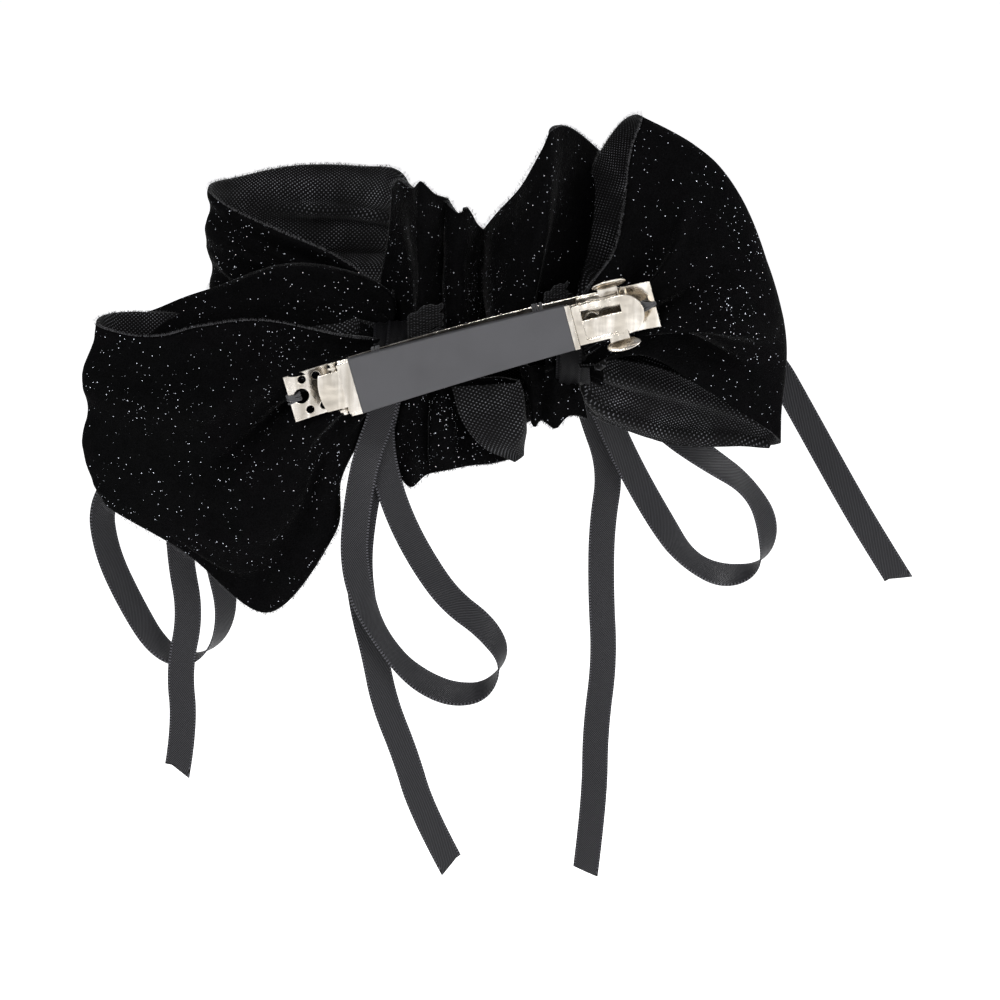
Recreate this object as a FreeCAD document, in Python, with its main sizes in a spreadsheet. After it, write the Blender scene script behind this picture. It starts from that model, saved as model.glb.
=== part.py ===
"""A velvet hair bow on an arched snap barrette, with satin ribbons tied at its two gathers.

Row frame: +X along the bow, +Z up as worn, +Y out from the head. The origin is the middle of the
base plate's hair side. The barrette is drawn in a level frame of its own (x along it, y out from
the head, z across it) and every one of its parts is then turned by CLIP_TURN.
"""
import FreeCAD, Part

import math
import os

from FreeCAD import Placement, Rotation, Vector

doc = FreeCAD.newDocument("hair_bow")
sheet = doc.addObject("Spreadsheet::Sheet", "dims")

DIMENSIONS = {
    # base plate
    "plate_length": 80, "plate_width": 10, "plate_thick": 0.8, "plate_radius": 130,
    "end_hole_dia": 3.2, "end_hole_place": -37.4, "small_hole_dia": 1.7,
    "small_hole_outer": -36.4, "small_hole_inner": -33.4, "small_hole_reach": 3.35,
    "end_slot_width": 1.2, "end_slot_length": 3.4, "hole_clearance": 0.02,
    # hinge
    "pin_place": -29, "pin_level": -8, "pin_dia": 1.2, "pin_length": 11.4,
    "pin_head_dia": 1.8, "pin_head": 0.4, "pin_clearance": 0.05, "ear_thick": 0.55,
    "ear_length": 2.6, "ear_foot": -3, "knuckle_dia": 3.1, "knuckle_width": 2.2,
    "knuckle_place": 2.9,
    # clasp bar and its sleeve
    "bar_radius": 211, "bar_centre": 8, "bar_level": -6.5, "bar_thick": 0.7,
    "bar_start": -28, "bar_end": 22, "bar_wide": 10.8, "bar_narrow": 8.8,
    "collar_length": 2.4, "collar_width": 12.2, "collar_thick": 1.9, "collar_lift": 0.2,
    "collar_rib_length": 0.6, "collar_rib_height": 0.35, "collar_rib_width": 11.2,
    "ridge_length": 1.1, "ridge_height": 1.4, "ridge_lift": 1.8,
    "tongue_length": 4.2, "tongue_width": 8, "tongue_thick": 0.5, "tongue_edge_dia": 22,
    "spring_room_lead": 1.7, "spring_room_length": 4.2, "spring_room_width": 3.6,
    "spring_room_depth": 4,
    "sleeve_start": -25.3, "sleeve_end": 21.4, "sleeve_wide": 12, "sleeve_narrow": 9.7,
    "sleeve_thick": 1.8, "sleeve_clearance": 0.02, "bore_end_room": 0.5, "bore_side_room": 0.1,
    # strap at the clasp's free end
    "strap_end": 37.4, "strap_width": 8.4, "strap_thick": 0.6, "skirt_depth": 1.4,
    "skirt_thick": 0.5, "skirt_start": 22.6, "skirt_end": 32.4, "window_length": 8.4,
    "window_width": 2.1, "window_place": 28.6, "window_side": 0.7, "notch_dia": 1.3,
    "notch_place": 32.6, "notch_side": -3.9, "rail_width": 0.8, "rail_height": 0.5,
    "rail_end": 31, "strap_ridge_end": 24.3,
    # middle spring
    "spring_radius": 77.6, "spring_centre": 4, "spring_level": -0.75, "spring_thick": 0.4,
    "spring_width": 7, "spring_lead": 0.4, "spring_end": 13, "spring_loop_width": 2.6,
    "spring_loop_dia": 1.8,
    # latch
    "web_start": 24, "web_end": 34.5, "web_thick": 0.6, "web_width": 9.4, "web_gap": 0.02,
    "rivet_place": 26.3, "rivet_dia": 1.6, "rivet_head_dia": 3, "rivet_head": 0.5,
    "rivet_foot": -1.3, "rivet_top": -3.9,
    "arm_place": 31, "arm_length": 4.2, "arm_thick": 0.5, "arm_reach": 3.3,
    "arm_foot": -5.1, "arm_top": -6.9, "neck_level": -5.5, "neck_thick": 0.5,
    "pad_reach": 7, "pad_length": 7.4, "pad_depth": 3.6, "pad_thick": 0.8, "pad_shift": 0.6,
    "pad_lift": 0.9, "pad_tilt": 35,
    # sewing thread
    "thread_dia": 0.5, "end_loop_dia": 2.9, "wrap_length": 2, "wrap_thick": 0.35,
    "wrap_gap": 0.2, "wrap_slack": 0.25, "left_wrap_place": -20, "right_wrap_place": 15.5,
    "left_loop_place": -39, "left_loop_level": -5.6, "right_loop_place": 38.6,
    "right_loop_level": -5.2,
    # gathers, cinches and knots
    "gather_dia": 13, "gather_length": 9, "gather_level": 11, "cinch_dia": 15,
    "cinch_length": 6, "knot_length": 8, "knot_height": 7, "knot_depth": 5,
    "left_gather_x": -18, "left_gather_z": -5, "right_gather_x": 22, "right_gather_z": -3,
    "knot_level": 22,
    # velvet
    "fold_thick": 4, "loop_thick": 12, "puff_thick": 17,
    # satin ribbon
    "ribbon_width": 6, "ribbon_thick": 0.6,
}
for row, (alias, value) in enumerate(DIMENSIONS.items(), start=1):
    sheet.set("A%d" % row, alias)
    sheet.set("B%d" % row, str(value))
    sheet.setAlias("B%d" % row, alias)
doc.recompute()

CLIP_TURN = Rotation(Vector(0, 1, 0), -15)
CLIP_PLACE = Placement(Vector(0, 0, 0), CLIP_TURN)
# Cutting tools reach from TOOL_BACK to TOOL_FRONT along y, or TOOL_SPAN along z. Shapes that are
# joined run OVERLAP into each other, and a hollow's tool runs OVERLAP past each of its ends.
OVERLAP = "1 mm"
TOOL_BACK = "-15 mm"
TOOL_FRONT = "5 mm"
TOOL_DEPTH = "(%s) - (%s)" % (TOOL_FRONT, TOOL_BACK)
TOOL_SPAN = "20 mm"
sub_parts = []


def size(alias):
    """A cell's number, for the places that an expression can't reach."""
    return float(sheet.get(alias))


def bind(thing, **cells):
    """Ties an object's properties to expressions in the sheet's aliases."""
    for name, text in cells.items():
        for alias in DIMENSIONS:
            text = text.replace("<%s>" % alias, "dims." + alias)
        thing.setExpression(name.replace("__", "."), text)
    return thing


def keep(thing, label, placement=None):
    """Names a finished sub-part and puts it in place."""
    thing.Label = label
    if placement is not None:
        thing.Placement = placement
    sub_parts.append(thing)
    return thing


def box(name, x, y, z, length, width, height):
    """A box from x, y and z, with sizes along them, all as expressions."""
    thing = doc.addObject("Part::Box", name)
    return bind(thing, Length=length, Width=width, Height=height,
                Placement__Base__x=x, Placement__Base__y=y, Placement__Base__z=z)


def across(name, x, y, dia, length, middle="0 mm"):
    """A cylinder along z, centred on z = middle."""
    thing = doc.addObject("Part::Cylinder", name)
    return bind(thing, Radius="(%s) / 2" % dia, Height=length, Placement__Base__x=x,
                Placement__Base__y=y, Placement__Base__z="(%s) - (%s) / 2" % (middle, length))


def outward(name, x, z, dia, low, high):
    """A cylinder along y, from y = low to y = high."""
    thing = doc.addObject("Part::Cylinder", name)
    thing.Placement = Placement(Vector(0, 0, 0), Rotation(Vector(1, 0, 0), -90))
    return bind(thing, Radius="(%s) / 2" % dia, Height="(%s) - (%s)" % (high, low),
                Placement__Base__x=x, Placement__Base__y=low, Placement__Base__z=z)


def joined(kind, name, shapes):
    """Part::MultiFuse or Part::MultiCommon of several shapes."""
    thing = doc.addObject(kind, name)
    thing.Shapes = shapes
    return thing


def cut(name, base, tool):
    thing = doc.addObject("Part::Cut", name)
    thing.Base = base
    thing.Tool = tool
    return thing


def arc_band(name, centre_x, outer_y, radius, thick, width):
    """A strip bent round z: its outer face reaches y = outer_y at x = centre_x."""
    centre_y = "(%s) - (%s)" % (outer_y, radius)
    outside = across(name + "_outside", centre_x, centre_y, "2 * (%s)" % radius, width)
    inside = across(name + "_inside", centre_x, centre_y,
                    "2 * ((%s) - (%s))" % (radius, thick), "(%s) + 2 * (%s)" % (width, OVERLAP))
    return cut(name + "_band", outside, inside)


def clipped(name, shape, start, end):
    """The part of a bent strip between x = start and x = end, on the side away from the head."""
    window = box(name + "_window", start, TOOL_BACK, "-(%s) / 2" % TOOL_SPAN,
                 "(%s) - (%s)" % (end, start), TOOL_DEPTH, TOOL_SPAN)
    return joined("Part::MultiCommon", name + "_length", [shape, window])


def tapered(name, start, end, wide, narrow):
    """A block whose width across z goes from wide at x = start to narrow at x = end."""
    thing = doc.addObject("Part::Wedge", name)
    thing.Placement = Placement(Vector(0, 0, 0), Rotation(Vector(0, 0, 1), -90))
    front = "-(%s)" % TOOL_BACK
    return bind(thing, Xmin=TOOL_BACK, Xmax=front, X2min=TOOL_BACK, X2max=front,
                Ymin=start, Ymax=end, Zmin="-(%s) / 2" % wide, Zmax="(%s) / 2" % wide,
                Z2min="-(%s) / 2" % narrow, Z2max="(%s) / 2" % narrow)


def mm(text):
    """Dimension names in <> read as lengths: the sheet holds plain numbers."""
    return text.replace(">", "> * 1 mm")


# ---- barrette -------------------------------------------------------------------------------
def hinge_ears():
    """The two ears that stand on the plate's edges and hold the pin."""
    ears = []
    for side, sign in (("upper", 1), ("lower", -1)):
        edge = "<plate_width> / 2 * 1 mm" if sign > 0 else "(<ear_thick> - <plate_width> / 2) * 1 mm"
        wall = box(side + "_ear", mm("<pin_place>") + " - " + mm("<ear_length>") + " / 2",
                   mm("<pin_level>"), edge + " - " + mm("<ear_thick>"),
                   mm("<ear_length>"), "(<ear_foot> - <pin_level>) * 1 mm", mm("<ear_thick>"))
        tip = across(side + "_ear_tip", mm("<pin_place>"), mm("<pin_level>"),
                     mm("<ear_length>"), mm("<ear_thick>"),
                     "%d * (<plate_width> - <ear_thick>) / 2 * 1 mm" % sign)
        ears += [wall, tip]
    return ears


def rivet_hole(name):
    """The hole that the latch rivet fills."""
    return outward(name + "_rivet_hole", mm("<rivet_place>"), "0 mm",
                   "(<rivet_dia> + <hole_clearance>) * 1 mm", TOOL_BACK, TOOL_FRONT)


def make_base_plate():
    band = arc_band("plate", "0 mm", mm("<plate_thick>"),
                    "(<plate_radius> + <plate_thick>) * 1 mm", mm("<plate_thick>"),
                    mm("<plate_width>"))
    strip = clipped("plate", band, "-<plate_length> / 2 * 1 mm", "<plate_length> / 2 * 1 mm")
    whole = joined("Part::MultiFuse", "plate_with_ears", [strip] + hinge_ears())
    tools = [across("pin_hole", mm("<pin_place>"), mm("<pin_level>"),
                    "(<pin_dia> + <hole_clearance>) * 1 mm", TOOL_SPAN),
             outward("end_hole", mm("<end_hole_place>"), "0 mm", mm("<end_hole_dia>"),
                     TOOL_BACK, TOOL_FRONT),
             rivet_hole("plate"),
             box("end_slot", "(<plate_length> / 2 - <end_slot_length>) * 1 mm", TOOL_BACK,
                 "-<end_slot_width> / 2 * 1 mm", "2 * <end_slot_length> * 1 mm",
                 TOOL_DEPTH, mm("<end_slot_width>"))]
    for place in ("outer", "inner"):
        for side in ("", "-"):
            name = "small_hole_%s_%s" % (place, "lower" if side else "upper")
            tools.append(outward(name, mm("<small_hole_%s>" % place),
                                 side + mm("<small_hole_reach>"), mm("<small_hole_dia>"),
                                 TOOL_BACK, TOOL_FRONT))
    keep(cut("base_plate", whole, joined("Part::MultiFuse", "plate_holes", tools)),
         "base_plate", CLIP_PLACE)


def make_hinge_pin():
    keep(joined("Part::MultiFuse", "hinge_pin", [
        across("pin_core", mm("<pin_place>"), mm("<pin_level>"), mm("<pin_dia>"),
               mm("<pin_length>")),
        across("pin_head", mm("<pin_place>"), mm("<pin_level>"), mm("<pin_head_dia>"), mm("<pin_head>"),
               "<pin_length> / 2 * 1 mm")]), "hinge_pin", CLIP_PLACE)


def knuckle(name, width, middle, dia):
    """A rolled loop round the pin, and the bore that gives it its running clearance."""
    bore = "(<pin_dia> + 2 * <pin_clearance>) * 1 mm"
    outside = across(name + "_roll", mm("<pin_place>"), mm("<pin_level>"), dia, width, middle)
    inside = across(name + "_bore", mm("<pin_place>"), mm("<pin_level>"), bore, TOOL_SPAN)
    return outside, inside


def strap():
    """The slotted strap at the clasp's free end, its side skirts and its round tip."""
    band = arc_band("strap", mm("<bar_centre>"), mm("<bar_level>"), mm("<bar_radius>"),
                    mm("<strap_thick>"), mm("<strap_width>"))
    flat = clipped("strap", band, mm("<bar_end>") + " - " + OVERLAP, mm("<strap_end>"))
    tip = outward("strap_tip", "(<strap_end> - <strap_width> / 2) * 1 mm", "0 mm",
                  mm("<strap_width>"), TOOL_BACK, TOOL_FRONT)
    body = box("strap_body", "0 mm", TOOL_BACK, mm("-<strap_width>"),
               "(<strap_end> - <strap_width> / 2) * 1 mm",
               TOOL_DEPTH, mm("2 * <strap_width>"))
    outline = joined("Part::MultiFuse", "strap_outline", [tip, body])
    skirts = arc_band("skirt", mm("<bar_centre>"), "(<bar_level> + <skirt_depth>) * 1 mm",
                      "(<bar_radius> + <skirt_depth>) * 1 mm",
                      "(<skirt_depth> + <strap_thick>) * 1 mm", mm("<strap_width>"))
    sides = clipped("skirt", skirts, mm("<skirt_start>"), mm("<skirt_end>"))
    hollow = box("skirt_hollow", "0 mm", TOOL_BACK,
                 "-(<strap_width> / 2 - <skirt_thick>) * 1 mm", mm("<plate_length>"),
                 TOOL_DEPTH,
                 "(<strap_width> - 2 * <skirt_thick>) * 1 mm")
    return [joined("Part::MultiCommon", "strap_plate", [flat, outline]),
            cut("strap_skirts", sides, hollow), strap_rails()]


def strap_rails():
    """The raised rails along the strap's edges, and the ridge across it at their foot."""
    face = arc_band("rail", mm("<bar_centre>"), "(<bar_level> - <strap_thick> / 2) * 1 mm",
                    "(<bar_radius> - <strap_thick> / 2) * 1 mm",
                    "(<rail_height> + <strap_thick> / 2) * 1 mm", mm("<strap_width>"))
    along = clipped("rail", face, mm("<skirt_start>"), mm("<rail_end>"))
    channel = box("rail_channel", mm("<strap_ridge_end>"), TOOL_BACK,
                  "-(<strap_width> / 2 - <rail_width>) * 1 mm", mm("<plate_length>"),
                  TOOL_DEPTH, "(<strap_width> - 2 * <rail_width>) * 1 mm")
    return cut("strap_rails", along, channel)


def make_clasp_bar():
    band = arc_band("bar", mm("<bar_centre>"), mm("<bar_level>"), mm("<bar_radius>"),
                    mm("<bar_thick>"), TOOL_SPAN)
    blade = joined("Part::MultiCommon", "bar_blade", [
        band, tapered("bar_taper", mm("<bar_start>"), mm("<bar_end>"), mm("<bar_wide>"),
                      mm("<bar_narrow>"))])
    tongue_level = "(<pin_level> - <knuckle_dia> / 2) * 1 mm"
    collar = box("collar", "(<sleeve_start> - <collar_length>) * 1 mm",
                 tongue_level + " - " + mm("<collar_lift>"), "-<collar_width> / 2 * 1 mm",
                 mm("<collar_length>"), mm("<collar_thick>"), mm("<collar_width>"))
    rib = box("collar_rib", "(<sleeve_start> - <collar_length>) * 1 mm",
              tongue_level + " - (<collar_lift> + <collar_rib_height>) * 1 mm",
              "-<collar_rib_width> / 2 * 1 mm", mm("<collar_rib_length>"),
              "2 * <collar_rib_height> * 1 mm", mm("<collar_rib_width>"))
    ridge = box("bar_ridge", mm("<sleeve_end>"), "(<bar_level> - <ridge_lift>) * 1 mm",
                "-<sleeve_narrow> / 2 * 1 mm", mm("<ridge_length>"), mm("<ridge_height>"),
                mm("<sleeve_narrow>"))
    bridge = box("hinge_bridge", mm("<pin_place>"), tongue_level, "-<tongue_width> / 2 * 1 mm",
                 "(<bar_start> - <pin_place>) * 1 mm + " + OVERLAP, mm("<tongue_thick>"),
                 mm("<tongue_width>"))
    tongue = box("tongue", "(<pin_place> - <tongue_length>) * 1 mm", tongue_level,
                 "-<tongue_width> / 2 * 1 mm", mm("<tongue_length>"), mm("<tongue_thick>"),
                 mm("<tongue_width>"))
    tongue_edge = outward("tongue_edge",
                          "(<pin_place> - <tongue_length> + <tongue_edge_dia> / 2) * 1 mm",
                          "0 mm", mm("<tongue_edge_dia>"), TOOL_BACK, TOOL_FRONT)
    tongue_end = joined("Part::MultiCommon", "tongue_end", [tongue, tongue_edge])
    rolls, bores = [], []
    for side, middle in (("upper", "<knuckle_place>"), ("lower", "-<knuckle_place>")):
        roll, bore = knuckle(side + "_clasp_knuckle", mm("<knuckle_width>"), mm(middle),
                             mm("<knuckle_dia>"))
        rolls.append(roll)
        bores.append(bore)
    whole = joined("Part::MultiFuse", "clasp_whole",
                   [blade, collar, rib, ridge, bridge, tongue_end] + rolls + strap())
    tools = [bores[0],
             box("spring_room", "(<pin_place> - <spring_room_lead>) * 1 mm",
                 tongue_level + " + " + mm("<tongue_thick>"),
                 "-<spring_room_width> / 2 * 1 mm", mm("<spring_room_length>"),
                 mm("<spring_room_depth>"), mm("<spring_room_width>")),
             box("strap_window", "(<window_place> - <window_length> / 2) * 1 mm", TOOL_BACK,
                 mm("<window_side>"), mm("<window_length>"),
                 TOOL_DEPTH, mm("<window_width>")),
             outward("strap_notch", mm("<notch_place>"), mm("<notch_side>"),
                     mm("<notch_dia>"), TOOL_BACK, TOOL_FRONT)]
    keep(cut("clasp_bar", whole, joined("Part::MultiFuse", "clasp_tools", tools)),
         "clasp_bar", CLIP_PLACE)


def make_bar_sleeve():
    """A soft sleeve that the clasp bar is pushed into."""
    middle = "(<bar_level> - <bar_thick> / 2 + %s) * 1 mm"
    outer = arc_band("sleeve", mm("<bar_centre>"), middle % "<sleeve_thick> / 2",
                     "(<bar_radius> + <sleeve_thick> / 2 - <bar_thick> / 2) * 1 mm",
                     mm("<sleeve_thick>"), TOOL_SPAN)
    inner = arc_band("sleeve_room", mm("<bar_centre>"),
                     middle % "<bar_thick> / 2 + <sleeve_clearance>",
                     "(<bar_radius> + <sleeve_clearance>) * 1 mm",
                     "(<bar_thick> + 2 * <sleeve_clearance>) * 1 mm", TOOL_SPAN)
    skin = joined("Part::MultiCommon", "sleeve_skin", [
        outer, tapered("sleeve_taper", mm("<sleeve_start>"), mm("<sleeve_end>"),
                       mm("<sleeve_wide>"), mm("<sleeve_narrow>"))])
    room = joined("Part::MultiCommon", "sleeve_bore", [
        inner, tapered("bore_taper", "(<bar_start> - <bore_end_room>) * 1 mm",
                       "(<bar_end> + <bore_end_room>) * 1 mm",
                       "(<bar_wide> + <bore_side_room>) * 1 mm",
                       "(<bar_narrow> + <bore_side_room>) * 1 mm")])
    keep(cut("bar_sleeve", skin, room), "bar_sleeve", CLIP_PLACE)


def make_tension_spring():
    band = arc_band("spring", mm("<spring_centre>"), mm("<spring_level>"),
                    mm("<spring_radius>"), mm("<spring_thick>"), TOOL_SPAN)
    blade_window = tapered("spring_taper", "(<pin_place> + <spring_lead>) * 1 mm",
                           mm("<spring_end>"), mm("<spring_loop_width>"), mm("<spring_width>"))
    blade = joined("Part::MultiCommon", "spring_blade", [band, blade_window])
    roll, bore = knuckle("spring_loop", mm("<spring_loop_width>"), "0 mm", mm("<spring_loop_dia>"))
    whole = joined("Part::MultiFuse", "spring_whole", [blade, roll])
    keep(cut("tension_spring", whole, bore), "tension_spring", CLIP_PLACE)


def make_latch():
    web_band = arc_band("web", "0 mm", mm("-<web_gap>"),
                        "(<plate_radius> - <web_gap>) * 1 mm", mm("<web_thick>"),
                        mm("<web_width>"))
    web = clipped("web", web_band, mm("<web_start>"), mm("<web_end>"))
    keep(cut("latch_web", web, rivet_hole("web")), "latch_web", CLIP_PLACE)
    shank = outward("rivet_shank", mm("<rivet_place>"), "0 mm", mm("<rivet_dia>"),
                    mm("<rivet_top>"), mm("<rivet_foot>"))
    head = outward("rivet_head_disc", mm("<rivet_place>"), "0 mm", mm("<rivet_head_dia>"),
                   "(<rivet_top> - <rivet_head>) * 1 mm", mm("<rivet_top>"))
    keep(joined("Part::MultiFuse", "latch_rivet", [shank, head]), "latch_rivet", CLIP_PLACE)
    for side, sign in (("upper", 1), ("lower", -1)):
        make_latch_arm(side, sign)


def make_latch_arm(side, sign):
    """A latch arm: a wall inside the strap's skirt, a neck under it and a flared thumb pad."""
    left = "(<arm_place> - <arm_length> / 2) * 1 mm"

    def between(near, far):
        """The low z and the height of a span across z, on this arm's side."""
        low = near if sign > 0 else "-(%s)" % far
        return "(%s) * 1 mm" % low, "((%s) - (%s)) * 1 mm" % (far, near)

    wall_z, wall_h = between("<arm_reach> - <arm_thick>", "<arm_reach>")
    wall = box(side + "_arm_wall", left, mm("<arm_top>"), wall_z, mm("<arm_length>"),
               "(<arm_foot> - <arm_top>) * 1 mm", wall_h)
    neck_z, neck_h = between("<arm_reach> - <arm_thick>", "<pad_reach> - <pad_lift>")
    neck = box(side + "_arm_neck", left, "(<neck_level> - <neck_thick> / 2) * 1 mm", neck_z,
               mm("<arm_length>"), mm("<neck_thick>"), neck_h)
    thumb = doc.addObject("Part::Ellipsoid", side + "_thumb_pad")
    thumb.Placement = Placement(Vector(0, 0, 0),
                                Rotation(Vector(1, 0, 0), -sign * size("pad_tilt")))
    bind(thumb, Radius1="<pad_thick> / 2 * 1 mm", Radius2="<pad_length> / 2 * 1 mm",
         Radius3="<pad_depth> / 2 * 1 mm",
         Placement__Base__x="(<arm_place> + <pad_shift>) * 1 mm",
         Placement__Base__y="(<neck_level> - <pad_lift>) * 1 mm",
         Placement__Base__z="%d * (<pad_reach> - <pad_thick> / 2) * 1 mm" % sign)
    keep(joined("Part::MultiFuse", side + "_latch_arm", [wall, neck, thumb]),
         side + "_latch_arm", CLIP_PLACE)


def make_stitches():
    """A loop of thread over each end of the plate, and a wrap round it at each gather."""
    for side in ("left", "right"):
        ring = doc.addObject("Part::Torus", side + "_end_stitch")
        bind(ring, Radius1="<end_loop_dia> / 2 * 1 mm", Radius2="<thread_dia> / 2 * 1 mm")
        middle = Vector(size(side + "_loop_place"), size(side + "_loop_level"), 0)
        keep(ring, side + "_end_stitch", Placement(CLIP_TURN.multVec(middle), CLIP_TURN))
        place = "<%s_wrap_place>" % side
        level = "(sqrt(<plate_radius> ^ 2 - (%s) ^ 2) - <plate_radius>)" % place
        rims = []
        for grown, name in (("<wrap_gap> + <wrap_thick>", "outer"), ("<wrap_gap>", "inner")):
            rims.append(box("%s_wrap_%s" % (side, name),
                            "(%s - <wrap_length> / 2) * 1 mm" % place,
                            "(%s - <wrap_slack> - (%s)) * 1 mm" % (level, grown),
                            "-(<plate_width> / 2 + %s) * 1 mm" % grown,
                            mm("<wrap_length>"),
                            "(<plate_thick> + 2 * <wrap_slack> + 2 * (%s)) * 1 mm" % grown,
                            "(<plate_width> + 2 * (%s)) * 1 mm" % grown))
        keep(cut(side + "_gather_stitch", *rims), side + "_gather_stitch", CLIP_PLACE)


# ---- gathers, cinches and knots -------------------------------------------------------------
def make_gather(side):
    """The pleated neck of velvet, the satin wound round it and the knot in front of it."""
    turn = Rotation(Vector(0, 1, 0), 90)
    x, z = size(side + "_gather_x"), size(side + "_gather_z")

    def along(name, dia, length):
        thing = doc.addObject("Part::Cylinder", name)
        thing.Placement = Placement(Vector(0, 0, 0), turn)
        return bind(thing, Radius="<%s> / 2 * 1 mm" % dia, Height="<%s> * 1 mm" % length,
                    Placement__Base__x="(<%s_gather_x> - <%s> / 2) * 1 mm" % (side, length),
                    Placement__Base__y=mm("<gather_level>"),
                    Placement__Base__z=mm("<%s_gather_z>" % side))

    keep(along(side + "_gather", "gather_dia", "gather_length"), side + "_gather")
    solid = along(side + "_cinch_solid", "cinch_dia", "cinch_length")
    room = along(side + "_cinch_room", "gather_dia", "gather_length")
    keep(cut(side + "_cinch", solid, room), side + "_cinch")
    knot = doc.addObject("Part::Ellipsoid", side + "_knot")
    bind(knot, Radius1="<knot_height> / 2 * 1 mm", Radius2="<knot_length> / 2 * 1 mm",
         Radius3="<knot_depth> / 2 * 1 mm")
    keep(knot, side + "_knot", Placement(Vector(x, size("knot_level"), z), Rotation()))


# ---- velvet ---------------------------------------------------------------------------------
# Each piece is a fold of one velvet strip: its outline as seen from the head, in x and z, the
# level where it starts and the cell that holds its thickness.
VELVET = {
    "left_lower_loop": (3, "loop_thick", [
        (-24, -3), (-28, 3), (-46, 5), (-60, 3), (-73, 2), (-81, 4), (-84, -23), (-81, -35),
        (-63, -47), (-46, -61), (-39, -55), (-28, -43), (-34, -40), (-27, -29), (-23, -18)]),
    "left_middle_fold": (16, "fold_thick", [
        (-24, -4), (-63, 1), (-72, 4), (-57, 9), (-40, 14), (-27, 12), (-24, 9)]),
    "left_upper_loop": (26, "puff_thick", [
        (-14, 2), (-22, 4), (-33, 6), (-49, 8), (-58, 7), (-58, 26), (-52, 31), (-34, 33),
        (-18, 32), (-14, 19)]),
    "top_left_fold": (12, "loop_thick", [(-12, 6), (-16, 31), (-10, 32), (-7, 26), (-7, 6)]),
    "top_inner_fold": (12, "loop_thick", [(-6, 6), (-6, 26), (-2, 27), (0, 22), (0, 6)]),
    "top_centre_fold": (12, "loop_thick", [
        (1, 6), (1, 22), (8, 30), (14, 37), (16, 43), (20, 44), (24, 38), (22, 27), (19, 19),
        (18, 6)]),
    "right_fan": (3, "loop_thick", [
        (28, -8), (28, 5), (21, 19), (24, 28), (28, 39), (34, 46), (44, 43), (51, 38),
        (58, 30), (64, 15), (67, 5), (68, -9), (66, -14)]),
    "right_lower_panel": (3, "loop_thick", [
        (28, -9), (66, -15), (66, -24), (50, -25), (36, -22), (28, -18)]),
    "bottom_left_ruffle": (4, "loop_thick", [
        (-18, -17), (-19, -27), (-14, -34), (-7, -32), (6, -30), (10, -27), (10, -17)]),
    "bottom_right_ruffle": (4, "loop_thick", [
        (11, -14), (12, -18), (14, -21), (18, -22), (23, -19), (22, -14)]),
    "centre_puff": (26, "puff_thick", [
        (-13, -12), (-11, 12), (-6, 20), (4, 22), (14, 20), (19, 12), (21, -10), (15, -20),
        (4, -23), (-7, -20)]),
}


def origin_plane(body, role):
    return next(f for f in body.Origin.OriginFeatures if f.Role == role)


def make_velvet(name, level, thickness, outline):
    body = doc.addObject("PartDesign::Body", name + "_body")
    sketch = body.newObject("Sketcher::SketchObject", name + "_outline")
    sketch.AttachmentSupport = (origin_plane(body, "XZ_Plane"), [""])
    sketch.MapMode = "FlatFace"
    corners = [Vector(x, z, 0) for x, z in outline]
    for here, there in zip(corners, corners[1:] + corners[:1]):
        sketch.addGeometry(Part.LineSegment(here, there))
    doc.recompute()
    pad = body.newObject("PartDesign::Pad", name + "_pad")
    pad.Profile = sketch
    pad.Reversed = True
    bind(pad, Length="<%s> * 1 mm" % thickness)
    keep(body, name, Placement(Vector(0, level, 0), Rotation()))


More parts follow.
